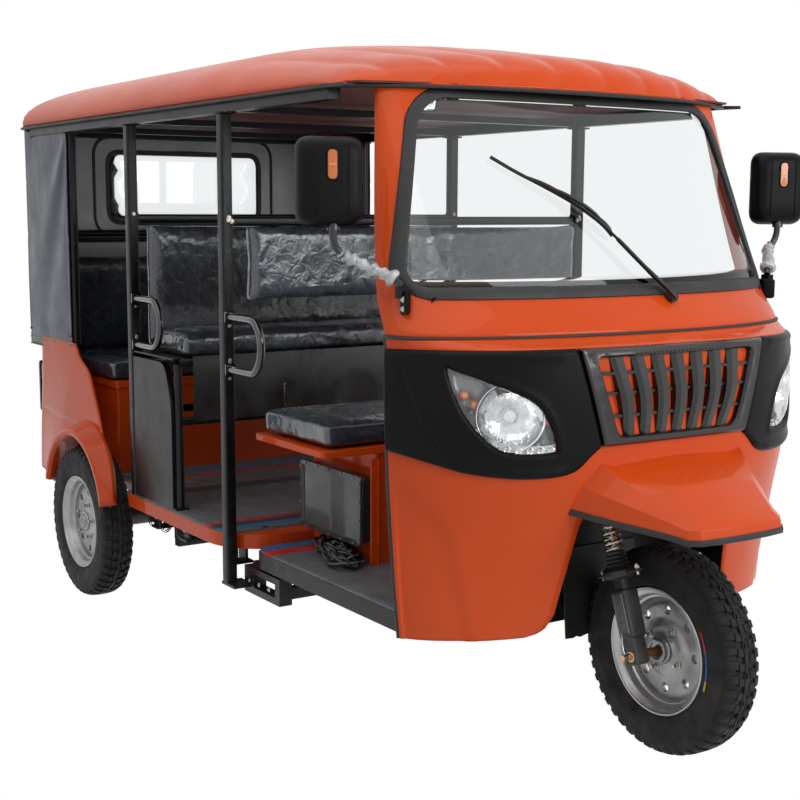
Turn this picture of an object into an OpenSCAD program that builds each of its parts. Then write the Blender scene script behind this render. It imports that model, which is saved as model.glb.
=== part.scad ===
// Auto rickshaw: an open-sided passenger three-wheeler with one steered front wheel,
// a driver's bench, a middle bench and a rear bench under one hard roof.
// Millimetres. +Z is up, the vehicle faces -Y, and +X is its own left side.
// The origin is on the ground, under the middle of the overall length and width.
// Lengths named *_y are measured rearward from the front axle.

/* [Overall] */
// Distance from the front axle to the rear axle
wheelbase = 2130; // [2060:5:2200]
// Distance between the middles of the rear tyres
track = 1340; // [1300:5:1380]
// Height of the roof crown above the ground
roof_top_z = 1800; // [1760:5:1860]
// Height of the roof's lower edge above the ground
roof_edge_z = 1622; // [1610:2:1640]
// Half of the roof width at the drip rail
roof_half_w = 652; // [640:1:670]
// Distance from the rear axle back to the back wall's outer face
rear_overhang = 670; // [650:5:720]

/* [Wheels] */
// Outside diameter of the tyres
tyre_d = 516; // [500:2:530]
// Width of the tyres
tyre_w = 112; // [100:1:120]
// Diameter over the rim flanges
rim_d = 312; // [300:1:320]
// Wall of the pressed steel rim
rim_t = 6; // [4:0.5:9]

/* [Steering] */
// Angle of the steering axis back from the vertical
rake = 20; // [17:0.5:23]
// Distance the steering axis meets the ground ahead of the wheel's contact
trail = 40; // [30:1:60]
// Half of the distance between the two fork legs
fork_half = 104; // [98:1:112]
// Radius of the steering column
column_r = 17; // [15:0.5:20]
// Half of the handlebar's width
bar_half = 275; // [240:5:300]

/* [Front] */
// Height of the groove between the upper and lower front shells
belt_z = 1032; // [1020:2:1044]
// Height of the foot of the windscreen
screen_z = 1128; // [1120:2:1140]
// Height of the lower end of the front shell
cowl_z = 310; // [300:1:320]
// Half of the front shell's width at the belt
cowl_half_w = 634; // [620:1:645]
// Thickness of the front shell
shell_t = 20; // [14:1:26]
// Rearward distance of the front shell's nose at the belt
nose_y = 80; // [70:1:95]

/* [Floor] */
// Height of the passenger floor
pass_floor_z = 396; // [388:1:410]
// Height of the driver's floor
driver_floor_z = 364; // [352:1:372]
// Half of the passenger floor's width
floor_half_w = 645; // [632:1:650]
// Half of the driver's floor width
driver_half_w = 598; // [580:1:604]

/* [Posts and seats] */
// Rearward distance of the posts behind the driver
b_post_y = 1132; // [1120:1:1150]
// Rearward distance of the posts behind the middle bench
c_post_y = 1822; // [1810:1:1840]
// Rearward distance of the posts at the front of the rear quarters
d_post_y = 2404; // [2390:1:2420]
// Radius of the post tubes
post_r = 17; // [15:0.5:18]
// Height of the driver's cushion top
driver_seat_z = 770; // [750:2:790]
// Height of the middle cushion top
mid_seat_z = 946; // [930:2:960]
// Height of the rear cushion top
rear_seat_z = 800; // [785:1:815]
// Thickness of the seat cushions
cushion_t = 72; // [60:1:80]

/* [Hidden] */
$fn = 40;

orange = [0.86, 0.25, 0.07];
black = [0.05, 0.05, 0.055];
plastic = [0.07, 0.07, 0.075];
rubber = [0.045, 0.045, 0.045];
steel = [0.62, 0.64, 0.66];
castgrey = [0.34, 0.35, 0.37];
vinyl = [0.13, 0.16, 0.18];
glass = [0.72, 0.80, 0.82];
matgrey = [0.30, 0.31, 0.32];
liner = [0.33, 0.12, 0.08];
wallgrey = [0.28, 0.29, 0.31];
lampred = [0.60, 0.05, 0.04];
curtain = [0.17, 0.23, 0.29];

tyre_r = tyre_d / 2;
rear_wall_y = wheelbase + rear_overhang;
beam_y = wheelbase + 170;
rim_r = rim_d / 2;
front_reach = tyre_r + 2;
rear_end_y = rear_wall_y + 72;
mid_y = (rear_end_y - front_reach) / 2;
steer_x0 = -trail;
gap = 0.4;
run_fit = 0.08;
b_post_x = floor_half_w - 9.6;
c_post_x = floor_half_w - 19;
d_post_x = 606;

// ---- helpers ---------------------------------------------------------------

// Moves a shape drawn from the front axle into the vehicle's own frame.
module from_axle() { translate([0, -mid_y, 0]) children(); }

// Repeats a shape on both sides of the vehicle.
module both_sides() { children(); mirror([1, 0, 0]) children(); }

// A box from its two corners.
module block(a, b) { translate(a) cube(b - a); }

// A round bar between two points.
module bar(a, b, r, fn = 24) {
    v = b - a;
    l = norm(v);
    translate(a) rotate([0, acos(v[2] / l), atan2(v[1], v[0])]) cylinder(h = l, r = r, $fn = fn);
}

// A tube along X centred on a point.
module x_rod(p, l, r, fn = 32) { translate(p) rotate([0, 90, 0]) cylinder(h = l, r = r, center = true, $fn = fn); }

// A front section [height, half width, nose, rear edge, power, inner power] as an outline,
// grown sideways and forward by d and rearward by back.
function nose(q, d, back) = concat(
    [[-q[1] - d, q[3] + back]],
    [for (i = [-9 : 9]) let (a = sin(10 * i))
        [a * (q[1] + d), q[3] - (q[3] - q[2] + d) * pow(1 - pow(abs(a), q[4]), 1 / q[5])]],
    [[q[1] + d, q[3] + back]]);

// A convex solid through outlines at several heights: [[height, outline], ...].
module loft(steps) {
    hull() for (st = steps)
        translate([0, 0, st[0]]) linear_extrude(0.02) polygon(st[1]);
}

// Front sections from the bottom up: the shell, the brow above the belt and the screen above that.
s_low = [cowl_z, 606, nose_y + 22, 285, 3.0, 1.35];
s_mid = [729, cowl_half_w - 2, nose_y - 76, 296, 3.5, 1.25];
s_ledge = [belt_z - 20, cowl_half_w, nose_y - 70, 300, 3.6, 1.2];
s_belt = [belt_z - gap / 2, cowl_half_w, nose_y, 305, 2.2, 1.8];
s_brow = [belt_z + gap / 2, cowl_half_w, nose_y, 305, 2.2, 1.8];
s_foot = [screen_z, 622, nose_y + 66, 362, 2.2, 1.8];
s_head = [roof_edge_z - gap, 556, 396, 478, 2.6, 1.8];
lower_front = [s_low, s_mid, s_ledge, s_belt];
upper_front = [s_brow, s_foot];
screen_front = [concat([screen_z + gap], [for (i = [1 : 5]) s_foot[i]]), s_head];

// The outline a carried on past itself by e, along the slope that leads from outline b at distance h.
function beyond(a, b, e, h) = a + (a - b) * (e / h);

// The solid inside a set of sections, grown by d and by back, and carried past its ends by over.
module front_solid(secs, d = 0, over = 0, back = 0) {
    n = len(secs) - 1;
    rings = [for (q = secs) nose(q, d, back)];
    loft([for (i = [0 : n]) i == 0
        ? [secs[0][0] - over, beyond(rings[0], rings[1], over, secs[1][0] - secs[0][0])]
        : i == n ? [secs[n][0] + over, beyond(rings[n], rings[n - 1], over, secs[n][0] - secs[n - 1][0])]
        : [secs[i][0], rings[i]]]);
}

// The wall of a set of sections, from an outer offset to an inner offset.
module wall(secs, outer, inner) {
    difference() {
        front_solid(secs, outer);
        front_solid(secs, inner, 1, 60);
    }
}

// A front-view outline pushed back along +Y.
module front_view(pts, y1 = -200, y2 = 700, inset = 0) {
    translate([0, y2, 0]) rotate([90, 0, 0]) linear_extrude(y2 - y1) offset(delta = -inset) polygon(pts);
}

// ---- frame and running gear ---------------------------------------------------

rail_top_z = driver_floor_z - 46.4;
kick_z = tyre_r + 46;
spring_half = 380;
step_x = b_post_x - 75.4;
spring_z = tyre_r + 42.2;
module chassis_frame() {
    color(black) from_axle() difference() {
        union() {
            both_sides() {
                // rails, raised behind the middle crossmember to clear the rear axle
                block([300, 330, 246], [350, 1690, rail_top_z]);
                block([300, 1640, kick_z], [350, rear_wall_y - 60, pass_floor_z - 18]);
                // pads that carry the passenger floor
                for (y = [b_post_y - 42, 1640, beam_y, rear_wall_y - 120])
                    block([306, y, rail_top_z - 1], [344, y + 46, pass_floor_z - 12.4]);
                // outriggers under the floors
                for (y = [b_post_y - 42, 1640])
                    block([350, y, 268], [step_x, y + 46, 312]);
                // step bracket below the post behind the driver
                difference() {
                    block([step_x, b_post_y - 232, 236], [step_x + 40, b_post_y - 22, 312]);
                    block([step_x - 10, b_post_y - 206, 256], [step_x + 50, b_post_y - 80, 294]);
                }
                // foot plate of that post
                block([step_x + 30, b_post_y - 60, 254], [b_post_x + post_r, b_post_y + 20, 261.7]);
                // hangers at the leaf spring ends
                for (d = [-spring_half - 30.4, spring_half + 0.4])
                    block([350, wheelbase + d, 286], [458, wheelbase + d + 30, 345]);
                // neck up to the steering head
                block([40, 330, 256], [80, 370, 700]);
                block([10, 228, 668], [60, 340, 694]);
            }
            for (y = [330, b_post_y - 122, 1640])
                block([-300, y, 256], [300, y + 50, 316]);
            for (y = [beam_y, rear_wall_y - 120])
                block([-300, y, kick_z + 6], [300, y + 50, pass_floor_z - 24]);
            block([-60, 330, 600], [60, 370, 700]);
            on_steering_axis() translate([0, 0, 660]) cylinder(h = 150, r = 30);
        }
        on_steering_axis() translate([0, 0, 600]) cylinder(h = 300, r = column_r + run_fit);
    }
}

module rear_axle() {
    color(black) from_axle() {
        x_rod([0, wheelbase, tyre_r], track - tyre_w - 20, 34);
        // final drive housing
        x_rod([0, wheelbase, tyre_r], 110, 92, 48);
        x_rod([0, wheelbase, tyre_r], 190, 62, 48);
        both_sides() {
            block([402, wheelbase - 45, tyre_r - 26], [462, wheelbase + 45, tyre_r + 42]);
            // brake drum
            x_rod([track / 2 - tyre_w / 2 - 22, wheelbase, tyre_r], 24, 92, 48);
        }
        both_sides() x_rod([track / 2 - 22, wheelbase, tyre_r], 104, stub_r);
    }
}

leaf_t = 9;
module leaf_springs() {
    color(black) from_axle() both_sides() for (i = [0 : 3])
        block([404, wheelbase - spring_half + 78 * i, spring_z + leaf_t * (3 - i)],
              [458, wheelbase + spring_half - 78 * i, spring_z + leaf_t * (4 - i)]);
}

module drive_motor() {
    color(castgrey) from_axle()
        block([-120, 1690.4, 180], [120, wheelbase - 96.4, 350]);
}

// ---- floors ---------------------------------------------------------------------

floor_front_y = b_post_y - 62;
floor_corner = 180;
floor_skirt = 42;
// half width of the floor beside and behind the rear wheels
floor_rear_half_w = floor_half_w - 33;

// A plan with rounded front corners: half width, front, rear, corner radius
module floor_outline(w, y1, y2, r) {
    hull() {
        both_sides() translate([w - r, y1 + r]) circle(r = r, $fn = 32);
        translate([-w, y2 - 1]) square([2 * w, 1]);
    }
}

module passenger_floor() {
    wall_t = 14;
    color(orange) from_axle() difference() {
        translate([0, 0, pass_floor_z - floor_skirt]) linear_extrude(floor_skirt)
            floor_outline(floor_half_w, floor_front_y, rear_wall_y - 24, floor_corner);
        translate([0, 0, pass_floor_z - 60]) linear_extrude(48)
            floor_outline(floor_half_w - wall_t, floor_front_y + wall_t, rear_wall_y - 38, floor_corner - wall_t);
        both_sides() {
            translate([track / 2, wheelbase + 8, tyre_r]) rotate([0, 90, 0])
                cylinder(h = 240, r = tyre_r + 42, center = true, $fn = 64);
            block([floor_rear_half_w, wheelbase, pass_floor_z - 60], [floor_half_w + 10, rear_wall_y, pass_floor_z + 10]);
        }
    }
}

firewall_y = 268;
driver_floor_y1 = firewall_y + 8.4;
// the driver's floor widens behind the front shell's rear edge
driver_side_y = 312;
driver_front_half_w = 556;
driver_corner = 60;

// The driver's floor in plan, drawn in by d
module driver_plan(d) {
    translate([-driver_front_half_w + d, driver_floor_y1 + d])
        square([2 * (driver_front_half_w - d), driver_side_y - driver_floor_y1 + 1]);
    hull() {
        translate([-driver_half_w + d, driver_side_y + d]) square([2 * (driver_half_w - d), 1]);
        both_sides() translate([driver_half_w - driver_corner, floor_front_y - gap - driver_corner])
            circle(r = driver_corner - d, $fn = 32);
    }
}

module driver_floor() {
    plate_t = 12;
    color(black) from_axle() difference() {
        translate([0, 0, driver_floor_z - 46]) linear_extrude(46) driver_plan(0);
        translate([0, 0, driver_floor_z - 60]) linear_extrude(60 - plate_t) driver_plan(plate_t);
        block([-82, 328, 200], [82, 372, 500]);
    }
}

mat_t = 6;
pass_mat_y = floor_front_y + 80;
module floor_mats() {
    color(matgrey) from_axle() {
        translate([0, 0, driver_floor_z]) linear_extrude(mat_t) intersection() {
            driver_plan(6);
            translate([-driver_half_w, 390]) square([2 * driver_half_w, floor_front_y]);
        }
        translate([0, 0, pass_floor_z]) linear_extrude(mat_t) intersection() {
            floor_outline(floor_half_w - 5, floor_front_y + 5, rear_wall_y, floor_corner - 5);
            translate([-floor_half_w, pass_mat_y]) square([2 * floor_half_w, 1490 - pass_mat_y]);
        }
        block([-540, c_post_y + 24, pass_floor_z], [540, rear_seat_y - 124, pass_floor_z + mat_t]);
    }
}

// ---- front shell ----------------------------------------------------------------

// Front view of the arch over the steered wheel, left half
arch_pts = [[-320, cowl_z - 12], [-302, 326], [-280, 363], [-264, 474], [-254, 587], [-206, 668]];
module lower_front_shell() {
    color(orange) from_axle() difference() {
        wall(lower_front, 0, -shell_t);
        // open arch over the steered wheel
        front_view(concat(arch_pts, [for (i = [len(arch_pts) - 1 : -1 : 0]) [-arch_pts[i][0], arch_pts[i][1]]]));
    }
}

module upper_front_shell() {
    color(orange) from_axle() wall(upper_front, 0, -shell_t);
}

function screen_edge(d) = [
    [-596 + d, screen_z + d + 6], [596 - d, screen_z + d + 6],
    [480 - d, roof_edge_z - 34 - d], [-480 + d, roof_edge_z - 34 - d]];

module windscreen_frame() {
    color(orange) from_axle() difference() {
        wall(screen_front, 0, -shell_t - 8);
        front_view(screen_edge(0));
    }
}

module windscreen_glass() {
    color(glass) from_axle() intersection() {
        wall(screen_front, -4, -10);
        front_view(screen_edge(0.4));
    }
}

module windscreen_wiper() {
    pivot = [96, 99, 1099];
    knee = [-140, 241, 1335];
    color(black) from_axle() {
        bar([96, 92, 1098], [96, 123.2, 1104.4], 9);
        bar(pivot, knee, 4);
        bar([-323, 314, 1451], [-28, 196, 1262], 4);
    }
}

// Front view of one headlamp and of the lower edge of the black mask round it
lamp_pts = [[-561, 971], [-524, 962], [-471, 937], [-390, 893], [-362, 852], [-343, 800],
            [-341, 777], [-390, 770], [-435, 768], [-480, 784], [-525, 841], [-548, 897]];
mask_low = [[-634, 768], [-569, 742], [-520, 725], [-433, 716], [-332, 718], [-296, 730], [-258, 763]];
seam_top = 296;
seam_low = 231;
grille_low_z = 781;
mask_top_z = belt_z - 20;

module headlamp_masks() {
    color(plastic) from_axle() both_sides() intersection() {
        wall(lower_front, 12, gap);
        difference() {
            front_view(concat([[-700, mask_top_z], [-700, 768]], mask_low,
                [[-seam_low, grille_low_z], [-seam_top, mask_top_z]]));
            front_view(lamp_pts, -300, 800);
        }
    }
}

module grille() {
    color(plastic) from_axle() intersection() {
        wall(lower_front, 16, gap);
        difference() {
            front_view([[-seam_top + gap, mask_top_z], [seam_top - gap, mask_top_z],
                [seam_low - gap, grille_low_z], [-seam_low + gap, grille_low_z]]);
            for (i = [-3.5 : 1 : 3.5])
                front_view([[i * 64 - 18, 988], [i * 64 + 18, 988],
                    [i * 48 + 12, grille_low_z + 22], [i * 48 - 12, grille_low_z + 22]], -300, 800);
        }
    }
}

module headlamps() {
    color(glass) from_axle() both_sides() intersection() {
        wall(lower_front, 13, gap);
        front_view(lamp_pts, -200, 600, gap);
    }
}

// The beak over the front wheel: plan, side and front outlines cut one block
beak_t = 7;
module beak_body(d) {
    drop = d > 0 ? 60 : 0;
    intersection() {
        translate([0, 0, 480]) linear_extrude(300) polygon([
            [-290 + d, 120], [-290 + d, 46], [-152 + d, -204 + d], [0, -240 + d],
            [152 - d, -204 + d], [290 - d, 46], [290 - d, 120]]);
        translate([-310, 0, 0]) rotate([90, 0, 90]) linear_extrude(620) polygon([
            [120, 632 - drop], [120, 742 - d], [0, 742 - d], [-214 + d, 622 - d], [-236 + d, 606 - d],
            [-242 + d, 583 - drop], [-205, 586 - drop], [44, 628 - drop]]);
        front_view([[-300, 480], [-290 + d, 620], [-276 + d, 690 - d], [-240 + d, 738 - d],
            [240 - d, 738 - d], [276 - d, 690 - d], [290 - d, 620], [300, 480]], -300, 300);
    }
}
module beak_fender() {
    color(orange) from_axle() difference() {
        beak_body(0);
        beak_body(beak_t);
        front_solid(lower_front, gap);
    }
}

module wheel_well() {
    color(black) from_axle() difference() {
        union() {
            block([-620, firewall_y, 320], [620, firewall_y + 8, 640]);
            both_sides() block([330, 130, cowl_z + 6], [338, firewall_y, 620]);
        }
        // trimmed to the inside of the front shell
        difference() {
            block([-800, 0, 0], [800, 400, 900]);
            front_solid(lower_front, -shell_t - gap, 0, 60);
        }
    }
}

module dashboard() {
    color(plastic) from_axle() difference() {
        intersection() {
            front_solid(upper_front, -shell_t - gap);
            block([-570, 0, belt_z + 4], [570, 252, screen_z - gap]);
        }
        block([-552, 60, belt_z], [552, 236, screen_z - 18]);
    }
}

// ---- roof and posts ------------------------------------------------------------

// Plan of the roof: half width, front and rear ends, bow of the front edge, corner cut
function roof_plan(w, y1, y2, bow, cut) = concat(
    [[-w, y2 - 80], [-w, y1 + cut + bow]],
    [for (i = [-8 : 8]) let (t = i / 8) [t * (w - cut * 0.42), y1 + bow * t * t]],
    [[w, y1 + cut + bow], [w, y2 - 80], [w - 60, y2], [-w + 60, y2]]);

// Roof rings: height above the edge, inset, front end, rear end, bow, corner cut
roof_front_y = 345;
roof_rings = [
    [0, 0, 0, 40, 95, 70],
    [46, 8, 22, 34, 92, 70],
    [104, 72, 104, -18, 80, 90],
    [150, 240, 380, -170, 60, 90],
    [roof_top_z - roof_edge_z - 1, 440, 760, -420, 40, 80]];
module roof_stack(d) {
    hull() for (q = roof_rings)
        translate([0, 0, roof_edge_z + q[0] - (q[0] > 0 ? d : 0)]) linear_extrude(1)
            polygon(roof_plan(roof_half_w - q[1] - d, roof_front_y + q[2] + d, rear_wall_y + q[3] - d, q[4], q[5]));
}

module roof_panel() {
    color(orange) from_axle() difference() {
        roof_stack(0);
        translate([0, 0, -0.5]) roof_stack(12);
    }
}

module roof_gutter() {
    color(rubber) from_axle() translate([0, 0, roof_edge_z - 10]) linear_extrude(9.7) difference() {
        polygon(roof_plan(roof_half_w + 8, roof_front_y - 8, rear_wall_y + 46, 95, 70));
        polygon(roof_plan(roof_half_w - 14, roof_front_y + 14, rear_wall_y + 26, 95, 70));
    }
}

module roof_frame() {
    color(black) from_axle() {
        both_sides() block([602, 560, roof_edge_z - 34], [roof_half_w - 14.4, rear_wall_y - 60, roof_edge_z - gap]);
        for (y = [b_post_y, c_post_y, d_post_y, rear_wall_y - 74])
            block([-602, y - 12, roof_edge_z - 32], [602, y + 12, roof_edge_z - 12]);
    }
}

module roof_liner() {
    color(liner) from_axle() translate([0, 0, roof_edge_z + 0.2]) linear_extrude(5)
        polygon(roof_plan(roof_half_w - 15, roof_front_y + 18, rear_wall_y + 25, 95, 70));
}

post_top_z = roof_edge_z - 34.4;
quarter_z = 845;
module posts() {
    color(black) from_axle() {
        both_sides() {
            translate([b_post_x, b_post_y, 262]) cylinder(h = post_top_z - 262, r = post_r);
            translate([c_post_x, c_post_y, pass_floor_z]) cylinder(h = post_top_z - pass_floor_z, r = post_r);
            translate([d_post_x, d_post_y, quarter_z + gap]) cylinder(h = post_top_z - quarter_z - gap, r = post_r);
            translate([d_post_x, rear_wall_y - 46, quarter_z + gap]) cylinder(h = post_top_z - quarter_z - gap, r = post_r);
        }
    }
}

module cross_rails() {
    color(black) from_axle() {
        x_rod([0, b_post_y, 1290], 2 * (b_post_x - post_r - 0.2), 12);
        x_rod([0, c_post_y, 1294], 2 * (c_post_x - post_r - 0.2), 12);
    }
}

// A bent round bar handle standing forward of a post: root, reach, height, bar radius
module loop_handle(p, reach, h, r) {
    cr = h / 2 - 1;
    for (s = [-1, 1]) {
        translate(p + [0, 0, s * h / 2]) rotate([90, 0, 0]) cylinder(h = reach - cr, r = r, $fn = 24);
    }
    translate(p + [0, -(reach - cr), 0]) rotate([0, 90, 180]) rotate_extrude(angle = 180, $fn = 48)
        translate([h / 2, 0]) circle(r = r, $fn = 24);
}

module grab_handles() {
    color(black) from_axle() both_sides() {
        loop_handle([b_post_x, b_post_y - post_r - 0.2, 952], 200, 150, 10);
        loop_handle([c_post_x, c_post_y - post_r - 0.2, 966], 200, 150, 10);
    }
}

mirror_x = 741;
mirror_z = 1388;
mirror_elbow = [668, 332, 1200];
module mirrors() {
    color(plastic) from_axle() both_sides() {
        difference() {
            block([610, 300, 1092], [652, 338, 1150]);
            front_solid(upper_front, gap);
            front_solid(screen_front, gap, 1);
        }
        bar([642, 318, 1144], mirror_elbow, 9);
        bar(mirror_elbow, [mirror_x, 372, mirror_z - 96], 9);
        translate(mirror_elbow) sphere(r = 9.6, $fn = 24);
        difference() {
            hull() for (x = [-1, 1], z = [-1, 1])
                translate([mirror_x + 52 * x, 340, mirror_z + 74 * z]) rotate([-90, 0, 0]) cylinder(h = 60, r = 28, $fn = 24);
            translate([mirror_x, 402, mirror_z]) cube([136, 16, 180], center = true);
        }
    }
}

// ---- seats ----------------------------------------------------------------------

driver_seat_y1 = 700;
driver_seat_y2 = floor_front_y + 15;
tray_t = 20;
tray_half_w = floor_half_w - 69;
bench_base_half_w = 404;
back_half_w = b_post_x - post_r - 18.4;
module driver_seat_base() {
    color(orange) from_axle() {
        block([-tray_half_w, driver_seat_y1, driver_seat_z - cushion_t - tray_t],
              [tray_half_w, driver_seat_y2, driver_seat_z - cushion_t - 0.3]);
        block([-bench_base_half_w, driver_seat_y1 + 12, driver_floor_z + mat_t + 0.2],
              [bench_base_half_w, floor_front_y - 12, driver_seat_z - cushion_t - tray_t]);
    }
}

module driver_cushions() {
    color(vinyl) from_axle() {
        block([-tray_half_w + 4, driver_seat_y1 - 4, driver_seat_z - cushion_t],
              [tray_half_w - 4, driver_seat_y2 - 6, driver_seat_z]);
        block([-back_half_w, b_post_y - 60, 1062], [back_half_w, b_post_y - 12.3, 1290]);
    }
}

// A thin box on the near end of the driver's bench, with a flange round its face
module control_box() {
    box_x = -bench_base_half_w - 42;
    low = driver_floor_z + 60;
    high = driver_seat_z - cushion_t - tray_t - 58;
    color(castgrey) from_axle() {
        block([box_x, 716, low + 8], [-bench_base_half_w - gap, 1027, high - 8]);
        block([box_x - 12, 708, low], [box_x, 1035, high]);
    }
}

mid_end_x = floor_half_w - 5;
mid_pad_half_w = floor_half_w - 37;
mid_end_t = 28;
mid_pan_z = mid_seat_z - cushion_t - 20;
module middle_bench_frame() {
    color(black) from_axle() {
        // end panels, front legs, seat pan and the cross rails
        both_sides() {
            block([mid_end_x - mid_end_t, 1520, pass_floor_z + 0.2], [mid_end_x, c_post_y - post_r - 2, mid_pan_z]);
            block([mid_end_x - 44, 1496, pass_floor_z + 0.2], [mid_end_x, 1520, mid_pan_z]);
        }
        block([-mid_end_x, 1500, mid_pan_z], [mid_end_x, c_post_y - post_r - 2, mid_seat_z - cushion_t - 0.3]);
        block([-mid_end_x + 44, 1500, 664], [mid_end_x - 44, 1520, 690]);
        // hanging skirt
        block([-mid_end_x + 60, 1494, 712], [mid_end_x - 60, 1499.7, mid_seat_z - cushion_t - 0.3]);
    }
}

module middle_cushions() {
    color(vinyl) from_axle() {
        block([-mid_pad_half_w, 1486, mid_seat_z - cushion_t], [mid_pad_half_w, c_post_y - 66, mid_seat_z]);
        block([-mid_pad_half_w, c_post_y - 64, mid_seat_z - cushion_t],
              [mid_pad_half_w, c_post_y - post_r - 0.3, 1286]);
    }
}

rear_seat_y = beam_y;
module rear_bench_base() {
    color(orange) from_axle() difference() {
        block([-546, rear_seat_y - 120, pass_floor_z + 0.2], [546, rear_wall_y - 80, rear_seat_z - cushion_t - 0.3]);
        block([-534, rear_seat_y - 108, pass_floor_z - 1], [534, rear_wall_y - 92, rear_seat_z - cushion_t - 12]);
    }
}

module rear_cushions() {
    color(vinyl) from_axle() {
        block([-580, rear_seat_y - 130, rear_seat_z - cushion_t], [580, rear_wall_y - 130, rear_seat_z]);
        block([-580, rear_wall_y - 129.6, rear_seat_z - cushion_t + 40], [580, rear_wall_y - 66, 1160]);
    }
}

// ---- rear body ---------------------------------------------------------------------

// The rear wheel arch: its opening and the rolled lip round it
arch_y = wheelbase + 10;
arch_r = tyre_r - 5;
arch_z = tyre_r + 42;
lip_r = tyre_r + 45;
lip_z = tyre_r + 29;
skin_t = 18;
module rear_quarters() {
    color(orange) from_axle() both_sides() {
        difference() {
            union() {
                difference() {
                    hull() {
                        block([560, arch_y - 250, 352], [712, arch_y + 160, 360]);
                        block([560, arch_y - 250, 352], [640, rear_wall_y - 38, 360]);
                        block([560, arch_y + 20, 720], [646, rear_wall_y - 20, 728]);
                        block([560, arch_y + 244, 836], [630, rear_wall_y - 20, quarter_z]);
                    }
                    translate([-skin_t, 0, 0]) hull() {
                        block([500, arch_y - 280, 340], [712, arch_y + 160, 348]);
                        block([500, arch_y - 280, 340], [640, rear_wall_y + 30, 348]);
                        block([500, arch_y - 10, 720], [646, rear_wall_y + 20, 728]);
                        block([500, arch_y + 214, 860], [630, rear_wall_y + 20, 861]);
                    }
                }
                translate([668, arch_y, lip_z]) rotate([0, 90, 0]) cylinder(h = 66, r = lip_r, $fn = 96);
            }
            translate([550, arch_y, arch_z]) rotate([0, 90, 0]) cylinder(h = 300, r = arch_r, $fn = 96);
            block([500, arch_y - 440, -100], [800, rear_wall_y - 100, 392]);
        }
    }
}

module rear_panel() {
    color(orange) from_axle()
        block([-628, rear_wall_y - 20, pass_floor_z - 30], [628, rear_wall_y, quarter_z]);
}

window_z = 1404;
module window_shape(d, depth) {
    translate([0, rear_wall_y - 13, window_z]) rotate([90, 0, 0]) linear_extrude(depth, center = true)
        hull() for (x = [-1, 1], z = [-1, 1]) translate([x * 280, z * 90]) circle(r = 50 - d, $fn = 32);
}

module rear_wall() {
    color(wallgrey) from_axle() difference() {
        block([-d_post_x, rear_wall_y - 20, quarter_z + gap], [d_post_x, rear_wall_y - 6, roof_edge_z - 10.4]);
        window_shape(0, 60);
    }
}

module rear_window() {
    color(glass) from_axle() window_shape(gap, 5);
}

module side_curtains() {
    color(curtain) from_axle() both_sides()
        block([d_post_x + post_r + gap, d_post_y - 6, quarter_z + gap],
              [d_post_x + post_r + 4, rear_wall_y + 14, post_top_z]);
}

module tail_lamps() {
    color(lampred) from_axle() both_sides()
        block([520, rear_wall_y + 0.2, 560], [600, rear_wall_y + 36, 740]);
}

module rear_bumper() {
    color(black) from_axle() difference() {
        union() {
            x_rod([0, rear_wall_y + 50, 380], 1160, 22);
            both_sides() block([300.4, rear_wall_y - 59.6, kick_z + 6], [349.6, rear_wall_y + 50, 350]);
            both_sides() block([302, rear_wall_y + 30, kick_z + 6], [348, rear_wall_y + 68, 380]);
            block([-130, rear_wall_y + 44, 396], [130, rear_wall_y + 50, 520]);
        }
        both_sides() translate([90, rear_wall_y + 50, 480]) rotate([90, 0, 0]) cylinder(h = 40, r = 3.5, center = true);
    }
}

// ---- steering and wheels --------------------------------------------------------------

// Draws along the steering axis: z up the column, y behind it.
module on_steering_axis() { translate([0, steer_x0, 0]) rotate([-rake, 0, 0]) children(); }
stub_r = 14;
axle_r = 11.5;
axle_s = tyre_r * cos(rake) + trail * sin(rake);
leg_off = -(trail * cos(rake) - tyre_r * sin(rake)) ;

module fork() {
    color(black) from_axle() on_steering_axis() {
        both_sides() {
            // lower casting with its axle eye
            translate([fork_half, -leg_off, axle_s]) rotate([0, 90, 0]) cylinder(h = 34, r = 26, center = true);
            translate([fork_half, -leg_off, axle_s]) cylinder(h = 190, r = 21);
            translate([fork_half, -leg_off, axle_s + 180]) cylinder(h = 10, r = 33);
            // slider and its upper seat
            translate([fork_half, -leg_off, axle_s + 180]) cylinder(h = 190, r = 13);
            translate([fork_half, -leg_off, axle_s + 330]) cylinder(h = 10, r = 33);
        }
        // crown that joins the legs to the column
        hull() {
            both_sides() translate([fork_half, -leg_off, axle_s + 340]) cylinder(h = 24, r = 28);
            translate([0, 0, axle_s + 340]) cylinder(h = 24, r = 34);
        }
        translate([0, 0, axle_s + 340]) cylinder(h = bar_s - axle_s - 340, r = column_r);
        // axle
        translate([0, -leg_off, axle_s]) rotate([0, 90, 0]) cylinder(h = 2 * fork_half + 60, r = axle_r, center = true);
    }
}

module fork_springs() {
    color(steel) from_axle() on_steering_axis() both_sides()
        translate([fork_half, -leg_off, axle_s + 190.2]) difference() {
            cylinder(h = 139.6, r = 30);
            translate([0, 0, -1]) cylinder(h = 150, r = 22);
        }
}

bar_s = axle_s + 770;
module handlebar() {
    color(black) from_axle() on_steering_axis() {
        difference() {
            translate([0, 0, bar_s - 30]) cylinder(h = 58, r = 30);
            translate([0, 0, bar_s - 40]) cylinder(h = 40.2, r = column_r + 0.2);
        }
        both_sides() {
            translate([0, 0, bar_s + 14]) rotate([0, 90, 0]) cylinder(h = 150, r = 11);
            translate([150, 0, bar_s + 14]) sphere(r = 13, $fn = 32);
            translate([150, 0, bar_s + 14]) rotate([-90, 0, -54]) {
                cylinder(h = bar_half - 120, r = 11);
                translate([0, 0, bar_half - 240]) cylinder(h = 124, r = 16);
            }
        }
    }
}

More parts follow.
